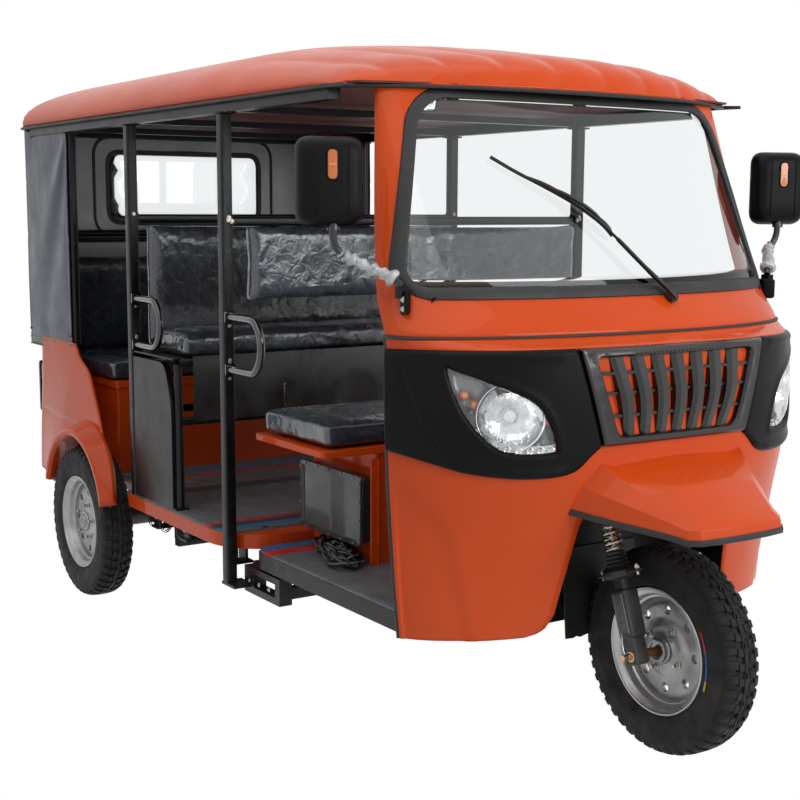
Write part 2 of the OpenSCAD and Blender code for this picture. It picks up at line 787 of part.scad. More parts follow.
// A tyre on its side, as a ring about the X axis
module tyre() {
    hw = tyre_w / 2;
    h = tyre_r - rim_r;
    profile = [[rim_r - 14, 0.50], [rim_r + 1, 0.72], [rim_r + 0.07 * h, 0.86], [rim_r + 0.39 * h, 1],
        [rim_r + 0.63 * h, 0.97], [rim_r + 0.84 * h, 0.88], [rim_r + 0.96 * h, 0.70], [tyre_r, 0.3]];
    n = len(profile);
    rotate([0, 90, 0]) rotate_extrude($fn = 96) polygon(concat(
        [for (q = profile) [q[0], -q[1] * hw]],
        [for (i = [n - 1 : -1 : 0]) [profile[i][0], profile[i][1] * hw]]));
}

// A pressed rim with its disc and hub: side is the outer face's direction along X
module rim(side, hub_half, bore) {
    hw = tyre_w / 2;
    rotate([0, 90, 0]) difference() {
        union() {
            rotate_extrude($fn = 72) polygon([
                [rim_r, -hw * 0.80], [rim_r - 14.4, -hw * 0.60], [rim_r - 14.4, hw * 0.60], [rim_r, hw * 0.80],
                [rim_r - 5, hw * 0.80], [rim_r - 14.4 - rim_t, hw * 0.60],
                [rim_r - 14.4 - rim_t, -hw * 0.60], [rim_r - 5, -hw * 0.80]]);
            translate([0, 0, side * 8 - 4]) cylinder(h = 8, r = rim_r - 15);
            cylinder(h = 2 * hub_half, r = 44, center = true);
        }
        cylinder(h = 400, r = bore, center = true);
        for (i = [0 : 7]) rotate([0, 0, 45 * i]) translate([rim_r - 50, 0, -60]) cylinder(h = 120, r = 13);
    }
}

module front_tyre() { color(rubber) from_axle() translate([0, 0, tyre_r]) tyre(); }
module front_rim() { color(steel) from_axle() translate([0, 0, tyre_r]) rim(-1, fork_half - 21.5, axle_r + run_fit); }
module rear_tyre_left() { color(rubber) from_axle() translate([track / 2, wheelbase, tyre_r]) tyre(); }
module rear_rim_left() { color(steel) from_axle() translate([track / 2, wheelbase, tyre_r]) rim(1, 30, stub_r + run_fit); }
module rear_tyre_right() { color(rubber) from_axle() translate([-track / 2, wheelbase, tyre_r]) tyre(); }
module rear_rim_right() { color(steel) from_axle() translate([-track / 2, wheelbase, tyre_r]) rim(-1, 30, stub_r + run_fit); }

chassis_frame();
rear_axle();
leaf_springs();
drive_motor();
passenger_floor();
driver_floor();
floor_mats();
lower_front_shell();
upper_front_shell();
windscreen_frame();
windscreen_glass();
windscreen_wiper();
headlamp_masks();
grille();
headlamps();
beak_fender();
wheel_well();
dashboard();
roof_panel();
roof_gutter();
roof_frame();
roof_liner();
posts();
cross_rails();
grab_handles();
mirrors();
driver_seat_base();
driver_cushions();
control_box();
middle_bench_frame();
middle_cushions();
rear_bench_base();
rear_cushions();
rear_quarters();
rear_panel();
rear_wall();
rear_window();
side_curtains();
tail_lamps();
rear_bumper();
fork();
fork_springs();
handlebar();
front_tyre();
front_rim();
rear_tyre_left();
rear_rim_left();
rear_tyre_right();
rear_rim_right();
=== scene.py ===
"""Auto rickshaw: detailed pieces, finishes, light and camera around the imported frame.

Lengths inside the script are millimetres: x to the vehicle's left, y rearward of the front
axle, z above the ground. at() turns them into the frame's metres.
"""

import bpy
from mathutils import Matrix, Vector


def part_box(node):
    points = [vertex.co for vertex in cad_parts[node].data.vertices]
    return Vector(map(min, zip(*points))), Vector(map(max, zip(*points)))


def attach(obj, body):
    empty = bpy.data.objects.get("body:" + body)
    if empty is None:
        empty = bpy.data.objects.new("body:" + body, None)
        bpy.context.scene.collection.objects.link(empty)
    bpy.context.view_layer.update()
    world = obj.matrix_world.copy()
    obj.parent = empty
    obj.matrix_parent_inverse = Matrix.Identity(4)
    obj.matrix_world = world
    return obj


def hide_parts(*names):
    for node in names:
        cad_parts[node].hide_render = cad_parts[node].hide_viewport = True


bl_info = {
    "name": "Auto rickshaw",
    "version": (1, 0, 0),
    "blender": (4, 5, 0),
    "location": "View3D > Sidebar > Rickshaw",
    "description": "Builds an open-sided passenger three-wheeler around its packed frame",
    "category": "Add Mesh",
}

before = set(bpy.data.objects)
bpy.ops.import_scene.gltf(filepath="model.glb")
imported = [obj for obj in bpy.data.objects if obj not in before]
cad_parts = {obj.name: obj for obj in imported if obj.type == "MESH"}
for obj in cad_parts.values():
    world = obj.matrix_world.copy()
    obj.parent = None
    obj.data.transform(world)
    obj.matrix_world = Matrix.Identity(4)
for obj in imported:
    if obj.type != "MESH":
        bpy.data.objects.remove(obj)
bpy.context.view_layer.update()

import math
import random

import bmesh
import bpy
from bpy.props import FloatProperty, FloatVectorProperty, IntProperty, PointerProperty
from mathutils import Matrix, Vector, noise
from mathutils.geometry import delaunay_2d_cdt

MM = 0.001
TURN = 2 * math.pi


def node_box(node):
    """A CAD node's lowest and highest corners in this script's millimetres."""
    lo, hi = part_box(node)
    shift = Vector((0, AXLE_Y, 0))
    return (Vector(lo) - shift) / MM, (Vector(hi) - shift) / MM


AXLE_Y = sum(corner[1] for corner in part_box("front_tyre")) / 2
TYRE_LO, TYRE_HI = node_box("front_tyre")
TYRE_R = (TYRE_HI.z - TYRE_LO.z) / 2
TYRE_W = TYRE_HI.x - TYRE_LO.x
REAR_AXLE = (node_box("rear_tyre_left")[0] + node_box("rear_tyre_left")[1]) / 2
ROOF_LO, ROOF_HI = node_box("roof_panel")
WALL_LO, WALL_HI = node_box("rear_wall")
SHELL_LO, SHELL_HI = node_box("lower_front_shell")
BELT_Z = SHELL_HI.z
SCREEN_Z = node_box("upper_front_shell")[1].z


def at(x, y, z):
    """A point in the frame, in metres."""
    return (x * MM, AXLE_Y + y * MM, z * MM)


# ---- shapes -----------------------------------------------------------------------------


class Shape:
    """Faces gathered for one piece."""

    def __init__(self):
        self.points = []
        self.faces = []
        self.slots = []

    def add(self, points, faces, slot=0):
        first = len(self.points)
        self.points += [tuple(p) for p in points]
        self.faces += [tuple(first + i for i in face) for face in faces]
        self.slots += [slot] * len(faces)
        return self

    def grid(self, rows, slot=0, ring=False, keep=None):
        """Quads between rows of points; ring joins each row's end to its start."""
        wide = len(rows[0])
        faces = []
        for i in range(len(rows) - 1):
            for j in range(wide if ring else wide - 1):
                if keep is None or keep(i, j):
                    k = (j + 1) % wide
                    faces.append((i * wide + j, i * wide + k, (i + 1) * wide + k, (i + 1) * wide + j))
        return self.add([p for row in rows for p in row], faces, slot)

    def box(self, lo, hi, slot=0):
        (a, b, c), (d, e, f) = lo, hi
        points = [(x, y, z) for x in (a, d) for y in (b, e) for z in (c, f)]
        faces = [(0, 1, 3, 2), (4, 6, 7, 5), (0, 4, 5, 1), (2, 3, 7, 6), (0, 2, 6, 4), (1, 5, 7, 3)]
        return self.add(points, faces, slot)

    def tube(self, path, radius, sides=12, slot=0, closed=False, flat=1.0):
        """A round bar along a path; radius may be one number or one a point, flat squashes it."""
        path = [Vector(p) for p in path]
        count = len(path)
        radii = radius if isinstance(radius, (list, tuple)) else [radius] * count
        rows = []
        side = None
        for i, p in enumerate(path):
            if closed:
                along = path[(i + 1) % count] - path[i - 1]
            else:
                along = path[min(i + 1, count - 1)] - path[max(i - 1, 0)]
            along.normalize()
            if side is None:
                side = along.orthogonal().normalized()
                if abs(along.z) < 0.9:
                    side = along.cross(Vector((0, 0, 1))).normalized()
            side = (side - along * side.dot(along)).normalized()
            up = along.cross(side)
            rows.append([p + (side * math.cos(t) + up * flat * math.sin(t)) * radii[i]
                         for t in (TURN * k / sides for k in range(sides))])
        if closed:
            rows.append(rows[0])
        self.grid(rows, slot, ring=True)
        if not closed:
            self.add(rows[0], [tuple(range(sides))], slot)
            self.add(rows[-1], [tuple(range(sides - 1, -1, -1))], slot)
        return self

    def turn(self, profile, centre, axis="X", sides=48, slot=0, closed=False):
        """A profile of (radius, distance along the axis) turned about an axis."""
        rows = []
        for r, d in profile + (profile[:1] if closed else []):
            row = []
            for k in range(sides):
                t = TURN * k / sides
                a, b = r * math.cos(t), r * math.sin(t)
                q = {"X": (d, a, b), "Y": (b, d, a), "Z": (a, b, d)}[axis]
                row.append(Vector(centre) + Vector(q))
            rows.append(row)
        return self.grid(rows, slot, ring=True)

    def prism(self, outline, depth, place, slot=0):
        """An outline of (u, v) pairs given depth; place maps (u, v, w) to a point."""
        n = len(outline)
        points = [place(u, v, w) for w in depth for u, v in outline]
        faces = [tuple(range(n)), tuple(range(2 * n - 1, n - 1, -1))]
        faces += [(i, i + n, (i + 1) % n + n, (i + 1) % n) for i in range(n)]
        return self.add(points, faces, slot)

    def moved(self, change):
        """The same shape with every point put through change."""
        self.points = [tuple(change(Vector(p))) for p in self.points]
        return self

    def mirrored(self):
        """Adds the shape's mirror image on the vehicle's other side."""
        first = len(self.points)
        self.points += [(-x, y, z) for x, y, z in self.points]
        self.faces += [tuple(first + i for i in reversed(face)) for face in self.faces]
        self.slots += self.slots
        return self

    def build(self, name, body, slot, finishes, replaces=(), weld=0.05, closed=True, bevel=0.0,
              thickness=0.0, levels=0, crease=38):
        """Makes the piece, welds it, shades it and rides it on its body."""
        mesh = bpy.data.meshes.new(name)
        mesh.from_pydata([at(*p) for p in self.points], [], self.faces)
        for each in finishes:
            mesh.materials.append(each)
        mesh.polygons.foreach_set("material_index", self.slots)
        work = bmesh.new()
        work.from_mesh(mesh)
        bmesh.ops.remove_doubles(work, verts=work.verts, dist=weld * MM)
        if closed:
            bmesh.ops.recalc_face_normals(work, faces=work.faces)
        work.to_mesh(mesh)
        work.free()
        mesh.shade_smooth()
        mesh.set_sharp_from_angle(angle=math.radians(crease))
        piece = bpy.data.objects.new(name, mesh)
        bpy.context.scene.collection.objects.link(piece)
        if thickness:
            solid = piece.modifiers.new("Thickness", "SOLIDIFY")
            solid.offset = 1 if thickness < 0 else -1
            solid.thickness = abs(thickness) * MM
        if bevel:
            edge = piece.modifiers.new("Edges", "BEVEL")
            edge.width = bevel * MM
            edge.segments = 2
            edge.limit_method = "ANGLE"
            edge.angle_limit = math.radians(38)
            edge.harden_normals = True
        if levels:
            soft = piece.modifiers.new("Soft", "SUBSURF")
            soft.levels = soft.render_levels = levels
        settle(piece, body, replaces)
        return piece


def settle(piece, body, replaces=()):
    """Rides a piece on its body and hides the CAD nodes it stands for."""
    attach(piece, body)
    if replaces:
        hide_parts(*replaces)


def hermite(table, z):
    """Smooth reading of a table of (z, values...) rows at height z."""
    rows = table
    z = min(max(z, rows[0][0]), rows[-1][0])
    k = 0
    while k < len(rows) - 2 and z > rows[k + 1][0]:
        k += 1
    a, b = rows[k], rows[k + 1]
    h = b[0] - a[0]
    t = (z - a[0]) / h
    out = []
    for i in range(1, len(a)):
        slope = (b[i] - a[i]) / h
        before = (a[i] - rows[k - 1][i]) / (a[0] - rows[k - 1][0]) if k else slope
        after = (rows[k + 2][i] - b[i]) / (rows[k + 2][0] - b[0]) if k < len(rows) - 2 else slope
        m0 = 0 if before * slope <= 0 else 2 * before * slope / (before + slope)
        m1 = 0 if after * slope <= 0 else 2 * after * slope / (after + slope)
        out.append((2 * t ** 3 - 3 * t ** 2 + 1) * a[i] + (t ** 3 - 2 * t ** 2 + t) * h * m0
                   + (3 * t ** 2 - 2 * t ** 3) * b[i] + (t ** 3 - t ** 2) * h * m1)
    return out


def through(points, per=6, closed=False):
    """A smooth run of points through the given ones."""
    pts = [Vector(p) for p in points]
    n = len(pts)
    out = []
    for i in range(n if closed else n - 1):
        if closed:
            p0, p1, p2, p3 = pts[i - 1], pts[i], pts[(i + 1) % n], pts[(i + 2) % n]
        else:
            p0, p1, p2, p3 = pts[max(i - 1, 0)], pts[i], pts[i + 1], pts[min(i + 2, n - 1)]
        for k in range(per):
            t = k / per
            out.append(0.5 * ((2 * p1) + (p2 - p0) * t + (2 * p0 - 5 * p1 + 4 * p2 - p3) * t * t
                              + (3 * p1 - p0 - 3 * p2 + p3) * t ** 3))
    if not closed:
        out.append(pts[-1])
    return out


def rounded(outline, radius, steps=4):
    """An outline of (u, v) pairs with its corners rounded; radius may be one a corner."""
    n = len(outline)
    out = []
    for i in range(n):
        p = Vector(outline[i])
        r = radius[i] if isinstance(radius, (list, tuple)) else radius
        a = Vector(outline[i - 1]) - p
        b = Vector(outline[(i + 1) % n]) - p
        cut = min(r, a.length * 0.48, b.length * 0.48)
        if cut <= 0.01:
            out.append(tuple(p))
            continue
        a, b = p + a.normalized() * cut, p + b.normalized() * cut
        for k in range(steps + 1):
            t = k / steps
            out.append(tuple(a * (1 - t) ** 2 + p * 2 * t * (1 - t) + b * t * t))
    return out


# ---- finishes -----------------------------------------------------------------------------

FINISHES = {}


class Nodes:
    """Short calls for building one material's nodes."""

    def __init__(self, name):
        self.material = bpy.data.materials.new(name)
        self.material.use_nodes = True
        self.tree = self.material.node_tree
        self.shader = self.tree.nodes["Principled BSDF"]
        self.place = self.new("ShaderNodeTexCoord").outputs["Object"]

    def new(self, kind, **values):
        node = self.tree.nodes.new(kind)
        for key, value in values.items():
            if key in node.inputs:
                node.inputs[key].default_value = value
            else:
                setattr(node, key, value)
        return node

    def link(self, out, to):
        self.tree.links.new(out, to)

    def noise(self, scale, detail=4.0, rough=0.55, distort=0.0, stretch=None, kind="FBM"):
        node = self.new("ShaderNodeTexNoise", noise_type=kind)
        node.inputs["Scale"].default_value = scale
        node.inputs["Detail"].default_value = detail
        node.inputs["Roughness"].default_value = rough
        node.inputs["Distortion"].default_value = distort
        source = self.place
        if stretch:
            mapping = self.new("ShaderNodeMapping")
            mapping.inputs["Scale"].default_value = stretch
            self.link(source, mapping.inputs["Vector"])
            source = mapping.outputs["Vector"]
        self.link(source, node.inputs["Vector"])
        return node.outputs["Fac"]

    def ramp(self, fac, stops):
        node = self.new("ShaderNodeValToRGB")
        points = node.color_ramp.elements
        while len(points) < len(stops):
            points.new(0.5)
        for point, (where, colour) in zip(points, stops):
            point.position = where
            point.color = (*colour, 1)
        self.link(fac, node.inputs["Fac"])
        return node.outputs["Color"]

    def span(self, fac, low, high, start=0.3, end=0.7):
        node = self.new("ShaderNodeMapRange")
        node.inputs["From Min"].default_value = start
        node.inputs["From Max"].default_value = end
        node.inputs["To Min"].default_value = low
        node.inputs["To Max"].default_value = high
        self.link(fac, node.inputs["Value"])
        return node.outputs["Result"]

    def math(self, how, a, b):
        node = self.new("ShaderNodeMath", operation=how)
        for socket, value in zip(node.inputs, (a, b)):
            if isinstance(value, (int, float)):
                socket.default_value = value
            else:
                self.link(value, socket)
        return node.outputs[0]

    def bump(self, height, depth, strength=1.0, below=None):
        node = self.new("ShaderNodeBump")
        node.inputs["Strength"].default_value = strength
        node.inputs["Distance"].default_value = depth * MM
        self.link(height, node.inputs["Height"])
        if below is not None:
            self.link(below, node.inputs["Normal"])
        return node.outputs["Normal"]


def finish(name, colour, rough=0.4, metal=0.0, tone=0.12, tone_scale=6.0, spread=0.08, coat=0.0,
           coat_rough=0.05, grain=None, waves=None, specular=0.5, dust=0.0):
    """A painted, moulded, cast or woven surface with uneven colour, gloss and relief.

    grain and waves are (scale, depth in mm) of fine and broad relief; dust lightens low parts.
    """
    if name in FINISHES:
        return FINISHES[name]
    kit = Nodes(name)
    s = kit.shader.inputs
    dark = tuple(c * (1 - tone) for c in colour)
    light = tuple(min(1.0, c * (1 + tone)) for c in colour)
    shade = kit.ramp(kit.noise(tone_scale, 5.0), [(0.32, dark), (0.68, light)])
    if dust:
        height = kit.new("ShaderNodeSeparateXYZ")
        kit.link(kit.place, height.inputs[0])
        low = kit.span(height.outputs["Z"], dust, 0.0, 0.1, 0.55)
        speck = kit.math("MULTIPLY", low, kit.span(kit.noise(22.0, 6.0), 0.0, 1.0, 0.35, 0.75))
        mix = kit.new("ShaderNodeMix", data_type="RGBA")
        kit.link(speck, mix.inputs["Factor"])
        kit.link(shade, mix.inputs["A"])
        mix.inputs["B"].default_value = (0.34, 0.30, 0.26, 1)
        shade = mix.outputs["Result"]
    kit.link(shade, s["Base Color"])
    kit.link(kit.span(kit.noise(tone_scale * 2.3, 5.0), rough - spread, rough + spread), s["Roughness"])
    s["Metallic"].default_value = metal
    s["Specular IOR Level"].default_value = specular
    s["Coat Weight"].default_value = coat
    s["Coat Roughness"].default_value = coat_rough
    normal = None
    if waves:
        normal = kit.bump(kit.noise(waves[0], 2.0), waves[1])
    if grain:
        normal = kit.bump(kit.noise(grain[0], 3.0, 0.6), grain[1], below=normal)
    if normal is not None:
        kit.link(normal, s["Normal"])
    FINISHES[name] = kit.material
    return kit.material


def paint():
    colour = tuple(bpy.context.scene.rickshaw_finish.paint)
    return finish("Orange paint", colour, rough=0.42, tone=0.05, tone_scale=2.5, spread=0.05, coat=0.32,
                  coat_rough=0.05, waves=(5.0, 0.5), specular=0.1, dust=0.10)


def black_paint():
    return finish("Black frame paint", (0.0055, 0.0055, 0.006), rough=0.34, tone=0.25, coat=0.1,
                  coat_rough=0.15, specular=0.2,
                  grain=(300.0, 0.05), dust=0.15)


def moulding():
    return finish("Black moulded plastic", (0.0028, 0.003, 0.0033), rough=0.42, tone=0.2, tone_scale=4.0,
                  spread=0.06, grain=(900.0, 0.06), specular=0.12)


def gloss_moulding():
    return finish("Black gloss plastic", (0.005, 0.005, 0.0055), rough=0.26, tone=0.2, spread=0.06,
                  coat=0.25, coat_rough=0.08, grain=(500.0, 0.02))


def seal_rubber():
    return finish("Seal rubber", (0.010, 0.010, 0.010), rough=0.55, tone=0.2, grain=(700.0, 0.05))


def tread_rubber():
    return finish("Tyre rubber", (0.008, 0.008, 0.0085), rough=0.75, tone=0.2, tone_scale=9.0, spread=0.1,
                  grain=(420.0, 0.12), specular=0.3, dust=0.12)


def rim_silver():
    return finish("Silver wheel paint", (0.48, 0.48, 0.49), rough=0.36, metal=0.75, tone=0.12, tone_scale=11.0,
                  spread=0.12, grain=(240.0, 0.06), dust=0.45)


def cast_black():
    return finish("Cast black metal", (0.022, 0.022, 0.023), rough=0.5, metal=0.3, tone=0.3, spread=0.12,
                  grain=(160.0, 0.35), dust=0.25)


def bright_steel():
    return finish("Bright steel", (0.42, 0.39, 0.33), rough=0.28, metal=1.0, tone=0.15, tone_scale=20.0,
                  spread=0.1,
                  grain=(300.0, 0.03))


def motor_grey():
    return finish("Motor grey", (0.20, 0.21, 0.22), rough=0.5, metal=0.4, grain=(180.0, 0.3), dust=0.3)


def box_grey():
    return finish("Grey sheet box", (0.065, 0.07, 0.068), rough=0.34, metal=0.5, tone=0.2, tone_scale=7.0,
                  spread=0.1, coat=0.3, waves=(9.0, 1.0), grain=(320.0, 0.04))


def wall_grey():
    return finish("Wall vinyl", (0.50, 0.48, 0.49), rough=0.45, tone=0.15, spread=0.1, waves=(7.0, 1.4),
                  grain=(420.0, 0.1))


def liner_brown():
    return finish("Roof lining", (0.13, 0.026, 0.012), rough=0.7, tone=0.2, tone_scale=3.0, grain=(260.0, 0.3))


def mat_vinyl():
    return finish("Floor mat", (0.13, 0.135, 0.14), rough=0.55, tone=0.25, tone_scale=12.0, spread=0.12,
                  grain=(130.0, 0.5), dust=0.2)


def curtain_vinyl():
    kit_name = "Curtain vinyl"
    return finish(kit_name, (0.030, 0.042, 0.075), rough=0.36, tone=0.18, tone_scale=4.0, spread=0.1,
                  waves=(14.0, 1.6), grain=(650.0, 0.12))


def flat_colour(name, colour, rough=0.5):
    return finish(name, colour, rough=rough, tone=0.15, tone_scale=14.0, grain=(400.0, 0.05))


def wrapped_vinyl():
    """Dark seat vinyl under a crumpled clear wrapper, with painted highlights along the wrapper's fold ridges.
    """
    if "Wrapped vinyl" in FINISHES:
        return FINISHES["Wrapped vinyl"]
    kit = Nodes("Wrapped vinyl")
    s = kit.shader.inputs
    folds = kit.noise(9.0, 5.0, 0.55, 1.2, kind="RIDGED_MULTIFRACTAL")
    crumple = kit.noise(26.0, 4.0, 0.6, 0.8, (1.0, 0.6, 1.0))
    shade = kit.ramp(kit.noise(7.0, 5.0), [(0.3, (0.020, 0.026, 0.032)), (0.7, (0.060, 0.074, 0.092))])
    # the pale grey mixed in on the fold ridges is a painted highlight of the wrapper's creases, not a colour of
    # the vinyl
    crease = kit.span(folds, 0.0, 0.75, 0.62, 0.95)
    mix = kit.new("ShaderNodeMix", data_type="RGBA")
    kit.link(crease, mix.inputs["Factor"])
    kit.link(shade, mix.inputs["A"])
    mix.inputs["B"].default_value = (0.30, 0.32, 0.35, 1)
    kit.link(mix.outputs["Result"], s["Base Color"])
    kit.link(kit.span(crumple, 0.16, 0.42), s["Roughness"])
    s["Coat Weight"].default_value = 0.9
    s["Coat Roughness"].default_value = 0.06
    normal = kit.bump(folds, 5.0)
    normal = kit.bump(crumple, 3.0, below=normal)
    kit.link(normal, s["Normal"])
    kit.link(normal, s["Coat Normal"])
    FINISHES["Wrapped vinyl"] = kit.material
    return kit.material


def clear(name, tint, rough=0.0, ior=1.45, ripple=None):
    """Clear glass or plastic that lets the lamps' light through."""
    if name in FINISHES:
        return FINISHES[name]
    kit = Nodes(name)
    s = kit.shader.inputs
    s["Base Color"].default_value = (*tint, 1)
    s["Transmission Weight"].default_value = 1.0
    s["Roughness"].default_value = rough
    s["IOR"].default_value = ior
    if ripple:
        kit.link(kit.bump(kit.noise(ripple[0], 3.0), ripple[1]), s["Normal"])
    else:
        kit.link(kit.bump(kit.noise(3.0, 2.0), 0.15), s["Normal"])
    path = kit.new("ShaderNodeLightPath")
    through_it = kit.new("ShaderNodeBsdfTransparent")
    through_it.inputs["Color"].default_value = (*tint, 1)
    mix = kit.new("ShaderNodeMixShader")
    kit.link(path.outputs["Is Shadow Ray"], mix.inputs["Fac"])
    kit.link(kit.shader.outputs["BSDF"], mix.inputs[1])
    kit.link(through_it.outputs["BSDF"], mix.inputs[2])
    output = next(n for n in kit.tree.nodes if n.type == "OUTPUT_MATERIAL")
    kit.link(mix.outputs["Shader"], output.inputs["Surface"])
    FINISHES[name] = kit.material
    return kit.material


def window_glass():
    return clear("Window glass", (0.86, 0.89, 0.90))


def lens_clear():
    return clear("Lamp lens", (0.97, 0.98, 0.98), ripple=(60.0, 0.2))


# ---- the front's surfaces --------------------------------------------------------------------

# height, half width, nose, rear edge, power, inner power
FRONT = [
    (SHELL_LO.z, 606, 100, 285, 3.0, 1.35), (460, 618, 72, 289, 3.1, 1.3), (600, 626, 36, 293, 3.3, 1.3),
    (729, 632, 2, 296, 3.5, 1.25), (860, 634, 0, 298, 3.6, 1.2), (BELT_Z - 22, 634, 8, 300, 3.6, 1.2),
    (BELT_Z - 12, 634, 30, 303, 3.0, 1.4), (BELT_Z, 634, 78, 305, 2.2, 1.8),
]
SCREEN = [
    (BELT_Z, 634, 78, 305, 2.2, 1.8), (BELT_Z + 14, 633, 84, 312, 2.2, 1.8),
          (SCREEN_Z, 622, 146, 362, 2.2, 1.8),
    (1622, 556, 396, 478, 2.6, 1.8),
]


def front_point(a, z, table=FRONT, out=0.0):
    """A point on the front: a is -1 at the right rear edge, 0 at the nose, 1 at the left."""
    w, nose, rear, p, q = hermite(table, z)
    x = a * w
    y = rear - (rear - nose) * (1 - min(abs(a), 1) ** p) ** (1 / q)
    if out:
        d = 0.004
        b = min(abs(a) + d, 0.999) * (1 if a >= 0 else -1)
        c = b - d * (2 if a >= 0 else -2)
        y1 = rear - (rear - nose) * (1 - abs(b) ** p) ** (1 / q)
        y2 = rear - (rear - nose) * (1 - abs(c) ** p) ** (1 / q)
        tangent = Vector(((b - c) * w, y1 - y2, 0))
        normal = Vector((tangent.y, -tangent.x, 0)).normalized()
        if normal.y > 0:
            normal = -normal
        x, y = x + normal.x * out, y + normal.y * out
    return Vector((x, y, z))


def on_front(x, z, table=FRONT, out=0.0):
    """The front's point at x and z."""
    return front_point(x / hermite(table, z)[0], z, table, out)


def filled(outline, holes, step, edge=(0.0,)):
    """Triangles filling an outline of 2D points with holes: points with their distance in, faces, loops."""
    def inside(p, loop):
        hit = False
        for i, a in enumerate(loop):
            b = loop[i - 1]
            if (a.y > p.y) != (b.y > p.y) and p.x < (b.x - a.x) * (p.y - a.y) / (b.y - a.y) + a.x:
                hit = not hit
        return hit

    def depth(p):
        best = 1e9
        for loop in fine:
            for i, a in enumerate(loop):
                ab = loop[i - 1] - a
                t = max(0.0, min(1.0, (p - a).dot(ab) / max(ab.length_squared, 1e-9)))
                best = min(best, (a + ab * t - p).length)
        return best

    fine = []
    for line in [outline] + list(holes):
        loop = [Vector(p) for p in line]
        rows = []
        for i, a in enumerate(loop):
            b = loop[(i + 1) % len(loop)]
            parts = max(1, int((b - a).length / step))
            rows += [a + (b - a) * k / parts for k in range(parts)]
        fine.append(rows)

    def within(p):
        return inside(p, fine[0]) and not any(inside(p, hole) for hole in fine[1:])

    verts, edges = [], []
    for rows in fine:
        first = len(verts)
        verts += rows
        edges += [(first + i, first + (i + 1) % len(rows)) for i in range(len(rows))]
    extra = []
    for inset in edge:
        for rows in fine if inset > 0 else ():
            for i, p in enumerate(rows):
                along = (rows[(i + 1) % len(rows)] - rows[i - 1]).normalized()
                for side in (1, -1):
                    q = p + Vector((-along.y, along.x)) * side * inset
                    if within(q) and depth(q) > inset * 0.92:
                        extra.append(q)
    low = Vector((min(p.x for p in fine[0]), min(p.y for p in fine[0])))
    high = Vector((max(p.x for p in fine[0]), max(p.y for p in fine[0])))
    rows_up = int((high.y - low.y) / (step * 0.87)) + 1
    for i in range(rows_up):
        for k in range(int((high.x - low.x) / step) + 1):
            q = Vector((low.x + step * (k + (0.5 if i % 2 else 1)), low.y + step * (0.5 + 0.87 * i)))
            if within(q) and depth(q) > max(edge) + step * 0.55:
                extra.append(q)
    got, _, faces, *_ = delaunay_2d_cdt(verts + extra, edges, [], 1, 0.01)
    kept = [tuple(face) for face in faces
            if within(sum((got[k] for k in face), Vector((0, 0))) / len(face))]
    return [(p, depth(p)) for p in got], kept, fine


def patch(outline, holes, table, out, step=15.0, edge=(0.0,), rim=0.0):
    """A sheet on the front filling an outline of (x, z) pairs, out of it by out(x, z, inset).

    edge lists insets of extra rows along the outline, rim turns the border in by that much.
    """
    def flat(x, z):
        w = hermite(table, z)[0]
        return math.asin(max(-1, min(1, x / w))) * WRAP, z

    def placed(p, depth, drop=0.0):
        w = hermite(table, p.y)[0]
        a = math.sin(max(-math.pi / 2, min(math.pi / 2, p.x / WRAP)))
        return front_point(a, p.y, table, out(a * w, p.y, depth) - drop)

    points, faces, loops = filled([flat(*p) for p in outline], [[flat(*p) for p in hole] for hole in holes],
                                  step, edge)
    shape = Shape().add([placed(p, depth) for p, depth in points], faces)
    if rim:
        for rows in loops:
            line = [[placed(p, 0.0), placed(p, 0.0, rim)] for p in rows]
            shape.grid(line + line[:1])
    return shape


def band(outline, profile, table):
    """A strip following a closed (x, z) outline; profile lists (across, out) pairs, across > 0 outward."""
    n = len(outline)
    rows = []
    for i in range(n):
        a, b, c = (Vector(outline[k % n]) for k in (i - 1, i, i + 1))
        d1, d2 = (b - a).normalized(), (c - b).normalized()
        along = (d1 + d2).normalized()
        side = Vector((along.y, -along.x))
        rows.append([on_front(*(b + side * across), table, height) for across, height in profile])
    rows.append(rows[0])
    return Shape().grid(rows)


def smooth(t):
    t = max(0.0, min(1.0, t))
    return t * t * (3 - 2 * t)


def between(table, z):
    """Straight-line reading of (z, value) pairs."""
    for (z0, v0), (z1, v1) in zip(table, table[1:]):
        if z <= z1:
            return v0 + (v1 - v0) * max(0.0, (z - z0) / (z1 - z0))
    return table[-1][1]


def spread(lo, hi, count):
    """count + 1 even steps from lo to hi."""
    return [lo + (hi - lo) * i / count for i in range(count + 1)]


def round_turn(count):
    """count angles once round a full turn, the last short of the first."""
    return spread(0, TURN, count)[:-1]


WRAP = 640.0
ARCH_X = [(SHELL_LO.z, 352), (SHELL_LO.z + 6, 322), (326, 302), (345, 289), (363, 280), (474, 264),
          (587, 254), (640, 236), (668, 206)]
ARCH_TOP = 668


